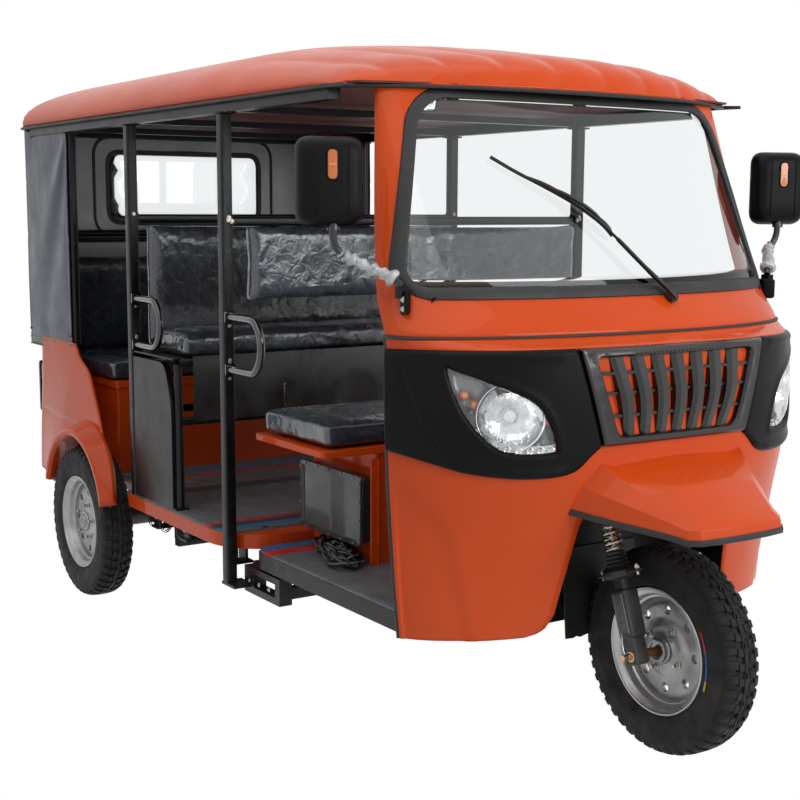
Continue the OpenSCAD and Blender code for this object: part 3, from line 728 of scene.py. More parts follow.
def make_lower_shell():
    """The orange shell round the driver's legs, open over the wheel."""
    heights = (spread(SHELL_LO.z, 346, 6) + spread(346, ARCH_TOP, 20)[1:]
               + spread(ARCH_TOP, BELT_Z - 24, 16)[1:] + spread(BELT_Z - 24, BELT_Z - 1, 10)[1:])
    fold = [(344, 0.79), (466, 0.821), (575, 0.857), (634, 0.918), (705, 0.972)]
    outer, inner = 34, 22

    def press(a, z):
        side = smooth((abs(a) - between(fold, z)) / 0.035) * smooth((712 - z) / 60)
        rim = smooth((abs(a) - 0.9905) / 0.006)
        return -7.0 * side * (1 - rim)

    rows = []
    for z in heights:
        edge = between(ARCH_X, min(z, ARCH_TOP)) / hermite(FRONT, z)[0]
        limit = math.asin(edge)
        angles = spread(math.pi / 2, limit, outer) + spread(limit, 0, inner)[1:]
        left = [front_point(math.sin(t), z, FRONT, press(math.sin(t), z)) for t in angles]
        right = [Vector((-p.x, p.y, p.z)) for p in left[:-1]]
        rows.append(right + left[::-1])
    wide = len(rows[0])
    cut = next(i for i, z in enumerate(heights) if z >= ARCH_TOP - 0.01)
    lamp = lamp_line()

    def in_lamp(p):
        hit = False
        for (x0, z0), (x1, z1) in zip(lamp, lamp[1:] + lamp[:1]):
            if (z0 > p.z) != (z1 > p.z) and -abs(p.x) < (x1 - x0) * (p.z - z0) / (z1 - z0) + x0:
                hit = not hit
        return hit

    shape = Shape()
    shape.grid(rows, keep=lambda i, j: (i >= cut or j < outer or j >= wide - 1 - outer)
               and not in_lamp((rows[i][j] + rows[i + 1][j + 1]) / 2))
    for side in (0, -1):
        sign = -1 if side == 0 else 1
        shape.grid([[row[side], row[side] + Vector((-sign * 5, 3, 0)), row[side] + Vector((-sign * 24, 3, 0))]
                    for row in rows])
    shape.build("lower_shell", "body", "orange_paint", [paint()], ["lower_front_shell"], thickness=3.5,
                closed=False, crease=30)
    trim = Shape()
    for side in (0, -1):
        sign = -1 if side == 0 else 1
        trim.tube([row[side] + Vector((-sign * 3, 7, 0)) for row in rows[::3]], 6.5, 8)
    trim.build("door_edge_trim", "body", "rubber_trim", [seal_rubber()])


OPEN_LOW = SCREEN_Z + 8
OPEN_HIGH = 1600


def open_half(z):
    """Half width of the windscreen opening at height z, with rounded corners."""
    half = 596 + (478 - 596) * (z - OPEN_LOW) / (OPEN_HIGH - OPEN_LOW)
    for end, r in ((OPEN_LOW, 62), (OPEN_HIGH, 78)):
        near = r - abs(z - end)
        if near > 0:
            half -= r * (1 - math.sqrt(max(0.0, 1 - (near / r) ** 2)))
    return half


def opening(inset=0.0):
    """The windscreen opening as (x, z) pairs, anticlockwise seen from the front."""
    heights = [OPEN_LOW + (OPEN_HIGH - OPEN_LOW) * (0.5 - 0.5 * math.cos(math.pi * k / 44)) for k in range(45)]
    right = [(-open_half(z), z) for z in heights]
    left = [(open_half(z), z) for z in heights]
    low = [(x, OPEN_LOW) for x in spread(left[0][0], right[0][0], 24)[1:-1]]
    high = [(x, OPEN_HIGH) for x in spread(right[-1][0], left[-1][0], 20)[1:-1]]
    loop = right + high + left[::-1] + low
    if not inset:
        return loop
    n = len(loop)
    out = []
    for i in range(n):
        along = (Vector(loop[(i + 1) % n]) - Vector(loop[i - 1])).normalized()
        out.append(tuple(Vector(loop[i]) + Vector((along.y, -along.x)) * inset))
    return out


def make_upper_shell():
    """The orange brow, pillars and header round the windscreen, with the belt's black bead."""
    low = spread(BELT_Z + 1, OPEN_LOW, 10)
    mid = [OPEN_LOW + (OPEN_HIGH - OPEN_LOW) * (0.5 - 0.5 * math.cos(math.pi * k / 36)) for k in range(37)][1:]
    heights = low + mid + spread(OPEN_HIGH, ROOF_LO.z + 10, 3)[1:]
    outer, inner = 16, 26
    rows = []
    for z in heights:
        edge = open_half(min(max(z, OPEN_LOW), OPEN_HIGH)) / hermite(SCREEN, z)[0]
        limit = math.asin(min(edge, 0.995))
        angles = spread(math.pi / 2, limit, outer) + spread(limit, 0, inner)[1:]
        left = [front_point(math.sin(t), z, SCREEN) for t in angles]
        right = [Vector((-p.x, p.y, p.z)) for p in left[:-1]]
        rows.append(right + left[::-1])
    wide = len(rows[0])
    first = len(low) - 1
    last = first + len(mid)
    shape = Shape()
    shape.grid(rows, keep=lambda i, j: i < first or i >= last or j < outer or j >= wide - 1 - outer)
    for side in (0, -1):
        sign = -1 if side == 0 else 1
        shape.grid([[row[side], row[side] + Vector((-sign * 5, 4, 0)), row[side] + Vector((-sign * 34, 8, 0))]
                    for row in rows])
    shape.build("upper_shell", "body", "orange_paint", [paint()],
                ["upper_front_shell", "windscreen_frame"], thickness=3.5, closed=False, crease=30)
    bead = Shape()
    rows = []
    for t in spread(-math.pi / 2, math.pi / 2, 72):
        a = math.sin(t)
        p = front_point(a, BELT_Z, FRONT)
        q = front_point(a, BELT_Z, FRONT, 3.0)
        step = q - p
        rows.append([p - Vector((0, 0, 5)) - step, p - Vector((0, 0, 3.5)) + step, p + step * 1.6,
                     p + Vector((0, 0, 3.5)) + step, p + Vector((0, 0, 5)) - step])
    bead.grid(rows)
    bead.build("belt_bead", "body", "rubber_trim", [seal_rubber()], closed=False)


def make_windscreen():
    """The curved windscreen and its rubber seal."""
    inset = opening(-10.0)
    glass = patch(inset, [], SCREEN, lambda x, z, d: -3.0, step=34.0)
    glass.build("windscreen", "body", "window_glass", [window_glass()], ["windscreen_glass"], thickness=4.0,
                closed=False, crease=60)
    seal = band(opening(), [(9, -6), (10, 2), (7, 6.5), (0, 8), (-9, 7), (-17, 4.5), (-20, -1), (-19, -12),
                            (9, -12)],
                SCREEN)
    seal.build("windscreen_seal", "body", "rubber_trim", [seal_rubber()], crease=30)


def lamp_line(inset=0.0, smooth_steps=4):
    points = [(-561, 971), (-524, 961), (-471, 937), (-428, 916), (-390, 892), (-362, 852), (-346, 806),
              (-341, 778), (-352, 770), (-390, 767), (-435, 768), (-480, 784), (-525, 841), (-548, 897)]
    line = [tuple(p)[:2] for p in through([(x, z, 0) for x, z in points], smooth_steps, closed=True)]
    if inset:
        n = len(line)
        moved = []
        for i in range(n):
            along = (Vector(line[(i + 1) % n]) - Vector(line[i - 1])).normalized()
            moved.append(tuple(Vector(line[i]) + Vector((along.y, -along.x)) * inset))
        line = moved
    return line


MASK_OUT = 12.0
SEAM_TOP, SEAM_LOW = 296, 231
MASK_TOP = BELT_Z - 20
GRILLE_LOW = 781


def make_masks():
    """The black moulded masks round the headlamps."""
    swoosh = [(769, 561), (847, 592), (926, 609), (980, 618)]
    outline = ([(-633.5, MASK_TOP - 6), (-634, MASK_TOP - 20), (-633.9, 900), (-633.5, 768)]
               + [tuple(p)[:2] for p in through([(-624, 763, 0), (-569, 742, 0), (-520, 726, 0), (-433, 715, 0),
                                                 (-345, 716, 0), (-296, 729, 0), (-262, 758, 0),
                                                 (-SEAM_LOW, GRILLE_LOW, 0)], 4)]
               + [(-SEAM_TOP, MASK_TOP)])

    def height(x, z, d):
        step = 0.0
        if 765 < z < 990:
            line = between(swoosh, z)
            w = 30 * smooth((990 - z) / 120)
            across = -x - line
            step = (-9.0 * smooth(across / 5) * smooth((w - across) / max(w, 1) * 1.3)
                    * smooth((990 - z) / 40) * smooth((z - 765) / 20))
        ring = 3.0 * math.exp(-((d - 13) / 7) ** 2) if x < -330 and x > -566 else 0.0
        return 3 + (MASK_OUT - 3) * math.sqrt(max(0.0, 1 - (1 - min(d / 9, 1)) ** 2)) + step + ring

    shape = patch(outline, [lamp_line(7.0)], FRONT, height, step=11.0, edge=(1.2, 3.5, 8.0, 13.0, 20.0),
                  rim=14.0)
    shape.mirrored().build("headlamp_masks_skin", "body", "black_plastic", [moulding()], ["headlamp_masks"],
                           closed=False, crease=50)


def make_headlamps():
    """Clear lenses over chromed housings, reflectors, amber bulbs and a row of small lamps."""
    chrome = finish("Lamp chrome", (0.72, 0.73, 0.74), rough=0.13, metal=1.0, tone=0.2, tone_scale=30.0,
                    spread=0.06,
                    waves=(38.0, 2.4))
    dark = finish("Lamp housing", (0.16, 0.165, 0.17), rough=0.3, metal=0.5, tone=0.3, tone_scale=12.0,
                  waves=(30.0, 1.5))
    amber = finish("Amber bulb", (0.55, 0.13, 0.02), rough=0.15, coat=0.6, tone=0.2, tone_scale=30.0)
    centre = on_front(-446, 858, FRONT, -6)
    facing = Vector((-0.50, -0.866, 0))
    turn = facing.to_track_quat("Z", "Y").to_matrix()

    def seat(x, z, out=-4):
        return on_front(x, z, FRONT, out)

    hole = [(-446 + 77 * 0.86 * math.cos(t), 858 + 77 * math.sin(t)) for t in round_turn(40)]
    back = patch(lamp_line(6.0), [hole], FRONT,
                 lambda x, z, d: -24 + 20 * math.exp(-d / 9) + 5 * math.sin((x + z) / 15), step=12.0,
                 edge=(4.0, 10.0))
    bowl = Shape()
    rings = [(80, 8), (81, 4), (77, 2), (74, -6), (62, -22), (44, -34), (24, -40), (16, -41)]
    rows = []
    for r, d in rings:
        rows.append([centre + turn @ Vector((r * math.cos(t), r * math.sin(t), d))
                     for t in round_turn(48)])
    bowl.grid(rows, ring=True)
    hub = Shape()
    for r, base, tip, at_point in ((17, -40, -8, centre),):
        rows = [[at_point + turn @ Vector((q * math.cos(t), q * math.sin(t), d))
                 for t in round_turn(24)]
                for q, d in ((r, base), (r, tip - 10), (r * 0.8, tip - 2), (r * 0.3, tip), (0.2, tip))]
        hub.grid(rows, ring=True)
    bulbs = Shape()
    for x, z in ((-532, 905), (-514, 884)):
        p = seat(x, z, -20)
        rows = [[p + turn @ Vector((q * math.cos(t), q * math.sin(t), d)) for t in round_turn(16)]
                for q, d in ((11, -6), (11.5, 4), (9, 12), (5, 16), (0.2, 17))]
        bulbs.grid(rows, ring=True)
    lights = Shape()
    strip = Shape()
    edge = [(-468, 787), (-446, 781), (-420, 779), (-394, 778), (-368, 778), (-350, 782)]
    path = through([seat(x, z, -3) for x, z in edge], 5)
    strip.grid([[p + Vector((0, 0, 13)), p + Vector((0, -1.5, 0)), p + Vector((0, 0, -12))] for p in path])
    for k in range(5):
        x = -452 + 23.5 * k
        p = seat(x, 783 if k == 0 else 780, -1.0)
        rows = [[p + turn @ Vector((q * math.cos(t), q * math.sin(t), d)) for t in round_turn(16)]
                for q, d in ((8.5, -3), (8.5, 3), (7.6, 3.4), (6.6, 0.5), (3, -1.5), (0.2, -2))]
        lights.grid(rows, ring=True)
    whole = Shape()
    for k, part in enumerate((back, bowl, hub, bulbs, strip, lights)):
        whole.add(part.points, part.faces, (1, 0, 0, 2, 3, 0)[k])
    pale = finish("Lamp strip", (0.42, 0.43, 0.44), rough=0.35, metal=0.3, tone=0.1, tone_scale=20.0)
    whole.mirrored().build("headlamp_reflectors", "body", "lamp_lens", [chrome, dark, amber, pale],
                           ["headlamps"],
                           closed=False, crease=34)
    lens = patch(lamp_line(6.5), [], FRONT, lambda x, z, d: 5 + 8 * smooth(d / 26), step=16.0, edge=(3.0, 9.0))
    lens.mirrored().build("headlamp_lenses", "body", "lamp_lens", [lens_clear()], thickness=2.4, closed=False,
                          crease=60)


def make_grille():
    """The centre grille: frame, seven creased slats and the thin bars between them."""
    frame_line = [(-SEAM_TOP + 2, MASK_TOP), (-SEAM_LOW + 2, GRILLE_LOW), (SEAM_LOW - 2, GRILLE_LOW),
                  (SEAM_TOP - 2, MASK_TOP)]
    frame_line = rounded(frame_line, [4, 6, 6, 4], 2)
    hole = rounded([(-250, 988), (-188, 803), (188, 803), (250, 988)], [16, 22, 22, 16], 5)

    def height(x, z, d):
        return 4 + 12 * math.sqrt(max(0.0, 1 - (1 - min(d / 7, 1)) ** 2)) + 3 * math.exp(-((d - 9) / 6) ** 2)

    shape = patch(frame_line, [hole], FRONT, height, step=13.0, edge=(1.2, 3.5, 7.0, 12.0), rim=14.0)

    def face(x, z, out):
        return on_front(x, z, FRONT, out)

    for i in range(-3, 4):
        rows = []
        for k in range(15):
            t = k / 14
            z = 994 + (800 - 994) * t
            x = i * (63.5 + (50.0 - 63.5) * t)
            half = 23.5 + (17.5 - 23.5) * t
            prow = 9 + 15 * smooth(1 - abs(t - 0.52) / 0.5) ** 0.7
            rows.append([face(x - half, z, -2), face(x - half * 0.92, z, prow - 8),
                         face(x - half * 0.42, z, prow),
                         face(x + half * 0.62, z, prow - 2), face(x + half * 0.95, z, prow - 12),
                         face(x + half, z, -2)])
        shape.grid(rows)
    for z, half in ((952, 238), (905, 222), (852, 204)):
        rows = [[face(x, z - 4, 3), face(x, z - 4, 9), face(x, z + 3, 10), face(x, z + 4, 3)]
                for x in spread(-half, half, 24)]
        shape.grid(rows)
    shape.build("grille_skin", "body", "black_plastic", [gloss_moulding()], ["grille"], closed=False, crease=24)


def make_beak():
    """The creased orange beak over the steered wheel, with its black rubber edge."""
    half = [
        [(0, 4, 742), (0, -110, 690), (0, -214, 630), (0, -236, 612), (0, -241, 590)],
        [(100, 4, 738), (80, -108, 688), (64, -212, 628), (68, -232, 612), (70, -236, 589)],
        [(190, 6, 731), (160, -100, 682), (122, -204, 626), (128, -220, 612), (130, -226, 588)],
        [(232, 10, 740), (184, -86, 680), (142, -192, 620), (149, -203, 611), (152, -208, 587)],
        [(276, 30, 689), (222, -70, 656), (168, -160, 624), (152, -200, 611), (154, -204, 587)],
        [(289, 46, 630), (233, -60, 612), (180, -150, 598), (162, -186, 591), (155, -200, 587)],
    ]
    rows = [[Vector((-x, y, z)) for x, y, z in row] for row in half[:0:-1]] + [[Vector(p) for p in row]
                                                                               for row in half]
    fine = []
    for row in rows:
        line = []
        for k in range(4):
            steps = (6, 6, 2, 2)[k]
            line += [row[k] + (row[k + 1] - row[k]) * j / steps for j in range(steps)]
        fine.append(line + [row[-1]])
    shape = Shape().grid(fine)
    beak = shape.build("beak", "body", "orange_paint", [paint()], ["beak_fender"], closed=False, thickness=3.0,
                       weld=2.0, bevel=3.0, crease=16)
    lower = [row[-1] for row in fine]
    side = [Vector((289, 46, 630)), Vector((262, -8, 621)), Vector((233, -60, 612)), Vector((205, -106, 605)),
            Vector((180, -150, 598)), Vector((162, -186, 591)), Vector((154, -203, 587)),
            Vector((130, -226, 588)),
            Vector((70, -236, 589)), Vector((0, -241, 590))]
    line = [Vector((-p.x, p.y, p.z)) for p in side] + side[-2::-1]
    rows = []
    for i, p in enumerate(line):
        along = (line[min(i + 1, len(line) - 1)] - line[max(i - 1, 0)]).normalized()
        out = along.cross(Vector((0, 0, 1))).normalized()
        rows.append([p + out * o + Vector((0, 0, h))
                     for o, h in ((2.5, 4), (4, -1), (3.5, -10), (0, -12), (-4, -9), (-4, 3))])
    Shape().grid(rows, ring=True).build("beak_edging", "body", "rubber_trim", [seal_rubber()], crease=50)
    return lower, beak


# ---- roof --------------------------------------------------------------------------------------

ROOF_W = ROOF_HI.x
ROOF_Z = ROOF_LO.z
ROOF_RISE = ROOF_HI.z - ROOF_LO.z
ROOF_NOSE = [(0, 348), (150, 356), (250, 369), (350, 386), (430, 408), (504, 435), (589, 470), (632, 500),
             (ROOF_W + 1, 540)]


def roof_ends(x):
    """Front and rear ends of the roof at x."""
    side = abs(x)
    rear = ROOF_HI.y
    corner = side - (ROOF_W - 75)
    if corner > 0:
        rear -= 75 - math.sqrt(max(0.0, 75 ** 2 - corner ** 2))
    return between(ROOF_NOSE, side), rear


def roof_point(x, y, lobes):
    front, rear = roof_ends(x)
    ahead = hermite([(0, 0), (14, 34), (40, 62), (102, 90), (227, 112), (483, 148), (872, ROOF_RISE),
                     (2400, ROOF_RISE)], y - front)[0]
    inward, forward = max(0.01, ROOF_W - abs(x)), max(0.01, 1.9 * (rear - y))
    near = (inward ** -4 + forward ** -4) ** -0.25
    across = (1 - (1 - min(1.0, near / ROOF_W)) ** 2.6) ** 0.51
    pitch = 2 * ROOF_W / (lobes - 0.32)
    groove = (1 - abs(math.sin(math.pi * (x / pitch + 0.5)))) ** 1.6
    groove *= smooth((900 - (y - front)) / 800) * smooth((620 - abs(x)) / 60)
    z = ROOF_Z + ahead * across
    steep = smooth(1 - (y - front) / 60)
    return Vector((x, y + 6 * groove * steep, z - 9 * groove * (1 - steep) * smooth((y - front) / 30)))


def roof_outline():
    """The roof's lower edge, once round."""
    line = []
    for k in range(73):
        x = -ROOF_W * math.cos(math.pi * k / 72)
        line.append(Vector((x, roof_ends(x)[0], ROOF_Z)))
    back = [Vector((x, roof_ends(x)[1], ROOF_Z))
            for x in (ROOF_W * math.cos(math.pi * k / 40) for k in range(41))]
    left = [Vector((ROOF_W, y, ROOF_Z)) for y in spread(line[-1].y, back[0].y, 24)[1:-1]]
    right = [Vector((-ROOF_W, y, ROOF_Z)) for y in spread(back[-1].y, line[0].y, 24)[1:-1]]
    return line + left + back + right


def make_roof():
    """The moulded roof with its scalloped front and the drip rail round it."""
    lobes = bpy.context.scene.rickshaw_detail.leaf_bands
    columns = [-ROOF_W * math.cos(math.pi * k / 30) for k in range(5)]
    inner = spread(columns[-1], -columns[-1], 150)[1:-1]
    columns = columns + inner + [-x for x in reversed(columns)]
    steps = [0, 0.0008, 0.002, 0.004, 0.007, 0.011, 0.016, 0.023, 0.032, 0.044, 0.06, 0.08]
    steps += spread(0.10, 0.90, 34) + [1 - t for t in reversed(steps)]
    rows = []
    for t in steps:
        row = []
        for x in columns:
            front, rear = roof_ends(x)
            row.append(roof_point(x, front + (rear - front) * t, lobes))
        rows.append(row)
    Shape().grid(rows).build("roof_skin", "body", "orange_paint", [paint()], ["roof_panel"], closed=False,
                             thickness=4.0, crease=50)
    outline = roof_outline()
    rail = Shape()
    rows = []
    n = len(outline)
    for i, p in enumerate(outline):
        along = (outline[(i + 1) % n] - outline[i - 1]).normalized()
        out = Vector((along.y, -along.x, 0))
        rows.append([p + out * o + Vector((0, 0, h)) for o, h in
                     ((-12, -1), (4, -1), (7.5, -2), (8.5, -5), (7, -9), (2, -10), (-14, -10), (-14, -6))])
    rail.grid(rows + rows[:1], ring=True)
    for side in (-1, 1):
        tip = [(632, 500, 0), (ROOF_W + 6, 452, -2), (ROOF_W + 8, 560, 0), (636, 560, 0)]
        rail.add([(side * x, y, ROOF_Z + z + h) for h in (0, -9) for x, y, z in tip],
                 [(0, 1, 2, 3), (7, 6, 5, 4), (0, 4, 5, 1), (1, 5, 6, 2), (2, 6, 7, 3), (3, 7, 4, 0)])
    rail.build("drip_rail", "body", "rubber_trim", [seal_rubber()], ["roof_gutter"])


# ---- mirrors, posts and handles --------------------------------------------------------------------


def bolt(shape, place, facing, r=8.0, h=6.0, slot=0):
    """A hexagon head with its washer, standing on a surface."""
    turn = Vector(facing).to_track_quat("Z", "Y").to_matrix()
    r, h = 0.72 * r, 0.8 * h
    for sides, radius, low, high in ((20, r * 1.45, 0.0, 1.6), (6, r, 1.6, h)):
        rings = []
        for q, d in ((radius, low), (radius, high - 0.8), (radius * 0.88, high), (0.01, high)):
            rings.append([Vector(place) + turn @ Vector((q * math.cos(TURN * k / sides),
                                                         q * math.sin(TURN * k / sides), d))
                          for k in range(sides)])
        shape.grid(rings, slot, ring=True)
    return shape


def cushion_loop(w, h, r, steps=8):
    """A rounded rectangle about the origin."""
    return rounded([(-w, -h), (w, -h), (w, h), (-w, h)], r, steps)


def make_mirrors():
    """Rear-view mirrors on bent arms, clamped to the front pillars."""
    mx, my, mz = 741.0, 375.0, 1388.0
    shell, glass, arm, film, clamp, bolts, slot_plate = (Shape() for _ in range(7))
    swing = math.radians(-19)

    def face(u, d, v):
        return Vector((mx + u * math.cos(swing) - d * math.sin(swing),
                       my + u * math.sin(swing) + d * math.cos(swing), mz + v))

    back = Matrix.Rotation(2 * swing, 3, "Z")

    def same_way(p):
        """Turns the near mirror so that both face the same way."""
        if p.x > 0:
            return p
        pivot = Vector((-mx, my, 0))
        return pivot + back @ (p - pivot)

    rows = []
    for w, h, d, r in ((20, 40, -31, 20), (50, 72, -30, 34), (64, 86, -26, 38), (73, 95, -16, 40),
                       (78, 100, -3, 40),
                       (80, 102, 10, 38), (80, 102, 19, 38), (78, 100, 22, 37), (74, 96, 22, 34),
                       (72, 94, 16, 32)):
        rows.append([face(u, d, v) for u, v in cushion_loop(w, h, r)])
    shell.grid(rows, ring=True)
    shell.add(rows[0], [tuple(range(len(rows[0])))])
    for x in (-1, 1):
        rib = [face(x * 38, -30.5 + (0 if abs(v) < 74 else 3), v) for v in spread(-80, 80, 12)]
        shell.tube(rib, [1.2] + [2.4] * 11 + [1.2], 8)
    glass.grid([[face(u, 17, v) for u, v in cushion_loop(w, h, 30)]
                for w, h in ((71, 93), (50, 70), (25, 35), (0.1, 0.1))], ring=True)
    slot_rows = []
    for w, h, d in ((15, 37, -30), (15, 37, -32.5), (13, 35, -33.5), (11, 33, -32.5), (11, 33, -31)):
        slot_rows.append([face(u, d, 38 + v) for u, v in cushion_loop(w, h, w, 6)])
    shell.grid(slot_rows, ring=True)
    inner = [[face(u * q, -31.6 - 0.8 * (1 - q), 38 + v * q) for u, v in cushion_loop(11, 33, 11, 6)]
             for q in (1, 0.7, 0.35, 0.01)]
    slot_plate.grid(inner, ring=True)
    slot_plate.add([face(u, d, v) for d in (-33.2, -31.4)
                    for u, v in ((-9, 36.5), (9, 36.5), (9, 39.5), (-9, 39.5))],
                   [(0, 1, 2, 3), (0, 4, 5, 1), (1, 5, 6, 2), (2, 6, 7, 3), (3, 7, 4, 0)], 1)
    bend = through([(mx - 4, my - 6, mz - 98), (mx - 6, my - 4, mz - 132), (mx - 18, my - 2, mz - 156),
                    (mx - 42, my - 8, mz - 172), (664, 332, 1192), (628, 300, 1172), (606, 282, 1150)], 8)
    arm.tube(bend, 9.0, 16)
    arm.turn([(0.1, -8), (15, -8), (15, 0), (12, 6), (11, 14)], (mx - 4, my - 6, mz - 102), "Z", 20)
    cover = bend[18:44]
    rng = random.Random(4)
    arm_film = []
    for i, p in enumerate(cover):
        t = i / (len(cover) - 1)
        arm_film.append(12 + 3.5 * math.sin(i * 1.7) + 3.0 * rng.random()
                        + 8 * smooth((t - 0.8) / 0.2) - 2.5 * smooth(1 - t * 5))
    film.tube(cover, arm_film, 14)
    film.points = [tuple(c + 3.4 * noise.noise(Vector(p) * 0.09 + Vector((31.0 * k, 17.0 * k, 0)))
                         for k, c in enumerate(p)) for p in film.points]
    clamp_rows = []
    for w, h, d in ((12, 22, -1), (15, 25, 2), (16, 27, 8), (16, 27, 26), (14, 25, 31), (10, 18, 33)):
        clamp_rows.append([Vector((586 + d * 0.75, 288 - d * 0.62 + u, 1112 + v))
                           for u, v in cushion_loop(w, h, 6, 3)])
    clamp.grid(clamp_rows, ring=True)
    clamp.add(clamp_rows[-1], [tuple(range(len(clamp_rows[-1])))])
    clamp.box((596, 268, 1122), (616, 294, 1150))
    bolt(bolts, (611, 267, 1098), (0.8, -0.6, 0), 6.5, 6)
    bolt(bolts, (611, 267, 1120), (0.8, -0.6, 0), 6.5, 6)
    bolt(bolts, (602, 280, 1064), (0.8, -0.6, 0), 6.0, 5)
    film_look = finish("Clear film", (0.55, 0.56, 0.57), rough=0.25, tone=0.3, tone_scale=60.0, coat=0.5,
                       waves=(90.0, 3.0))
    amber = finish("Amber reflector", (0.72, 0.16, 0.01), rough=0.22, coat=0.8, tone=0.08, grain=(500.0, 0.1))
    gold = flat_colour("Bright amber", (0.95, 0.42, 0.05), 0.25)
    mirror_face = finish("Mirror face", (0.75, 0.78, 0.79), rough=0.03, metal=1.0, tone=0.02, spread=0.01)
    shell.mirrored().moved(same_way).build("mirror_shells", "body", "black_plastic", [moulding()], ["mirrors"],
                                           crease=44)
    glass.mirrored().moved(same_way).build("mirror_faces", "body", "rim_silver", [mirror_face], closed=False)
    slot_plate.mirrored().moved(same_way).build("mirror_reflectors", "body", "lamp_lens", [amber, gold],
                                                crease=30)
    arm.mirrored().build("mirror_arms", "body", "black_steel", [gloss_moulding()])
    film.mirrored().build("mirror_arm_film", "body", "window_glass", [film_look], closed=False, crease=80)
    clamp.mirrored().build("mirror_clamps", "body", "black_plastic", [moulding()], crease=30)
    bolts.mirrored().build("mirror_bolts", "body", "rim_silver", [bright_steel()], crease=25)


B_X = 635.4
C_X = 626.0
D_X = 606.0
B_Y, C_Y, D_Y = (1132.0, 1822.0, 2404.0)
POST_TOP = node_box("posts")[1].z
RAIL_Z = 1290.0
FLOOR_Z = node_box("passenger_floor")[1].z
CAB_FLOOR_Z = node_box("driver_floor")[1].z


def make_posts():
    """The black posts, the rails between them and their bright bolts."""
    posts, bolts = Shape(), Shape()
    quarter_top = node_box("rear_quarters")[1].z
    for x, y, low in ((B_X, B_Y, 262), (C_X, C_Y, FLOOR_Z), (D_X, D_Y, quarter_top),
                      (D_X, ROOF_HI.y - 86, quarter_top)):
        square = x in (B_X, C_X)
        loop = cushion_loop(16.5, 16.5, 6, 4) if square else cushion_loop(16, 16, 15, 5)
        posts.grid([[Vector((x + u, y + v, z)) for u, v in loop] for z in spread(low, POST_TOP, 10)], ring=True)
        posts.grid([[Vector((x + u * q, y + v * q, z)) for u, v in loop]
                    for q, z in ((1.0, POST_TOP - 6), (1.7, POST_TOP - 4), (1.7, POST_TOP), (0.1, POST_TOP))],
                   ring=True)
    for dz in (-40, 40):
        bolt(bolts, (B_X - 8 + dz * 0.1, B_Y - 17, RAIL_Z + dz * 0.12 + 6), (0, -1, 0), 6.5, 5)
    for z in (RAIL_Z + 4, 1018, 900):
        bolt(bolts, (B_X - 1, B_Y - 16.5, z), (0, -1, 0), 5.5, 5)
        bolt(bolts, (C_X - 1, C_Y - 16.5, z + 14), (0, -1, 0), 5.5, 5)
    for z in (852, 1590):
        bolt(bolts, (B_X - 1, B_Y - 16.5, z), (0, -1, 0), 5.0, 4)
    posts.mirrored().build("post_tubes", "body", "black_steel", [black_paint()], ["posts"], crease=50)
    bolts.mirrored().build("post_bolts", "body", "rim_silver", [bright_steel()], crease=25)
    rails = Shape()
    for y, z, half in ((B_Y, 1290, B_X - 16), (C_Y, 1294, C_X - 16)):
        loop = cushion_loop(12, 13, 8, 4)
        rails.grid([[Vector((x, y + u, z + v)) for u, v in loop] for x in spread(-half, half, 16)], ring=True)
        for side in (-1, 1):
            rails.box((side * half - 2, y - 15, z - 18), (side * half + 2, y + 15, z + 18))
    rails.build("cross_tubes", "body", "black_steel", [black_paint()], ["cross_rails"], crease=50)


def make_handles():
    """Bent tube handles standing forward of the posts."""
    handles, bolts = Shape(), Shape()
    for x, y, z in ((B_X, B_Y - 17, 952), (C_X, C_Y - 17, 966)):
        reach, half, bend = 190, 74, 62
        line = [(x, y + 12, z - half), (x, y, z - half), (x, y - reach + bend + 20, z - half)]
        for k in range(1, 12):
            t = math.pi * k / 12
            line.append((x, y - reach + bend - bend * math.sin(t), z - half * math.cos(t)))
        line += [(x, y - reach + bend + 20, z + half), (x, y, z + half), (x, y + 12, z + half)]
        handles.tube(through(line, 4), 11.0, 16)
        for side in (-1, 1):
            handles.grid([[Vector((x + u, y - d, z + side * half + v)) for u, v in cushion_loop(15, 17, 5, 3)]
                          for d in (-1, 3, 5)] + [[Vector((x + u * 0.6, y - 5, z + side * half + v * 0.6))
                                                   for u, v in cushion_loop(15, 17, 5, 3)]], ring=True)
            bolt(bolts, (x - 1, y - 0.5, z + side * (half - 26)), (0, -1, 0), 5.0, 4.5)
    handles.mirrored().build("handle_tubes", "body", "black_steel",
                             [finish("Handle paint", (0.008, 0.008, 0.009), rough=0.16, tone=0.2, coat=0.8,
                                     grain=(200.0, 0.04))],
                             ["grab_handles"])
    bolts.mirrored().build("handle_bolts", "body", "rim_silver", [bright_steel()], crease=25)


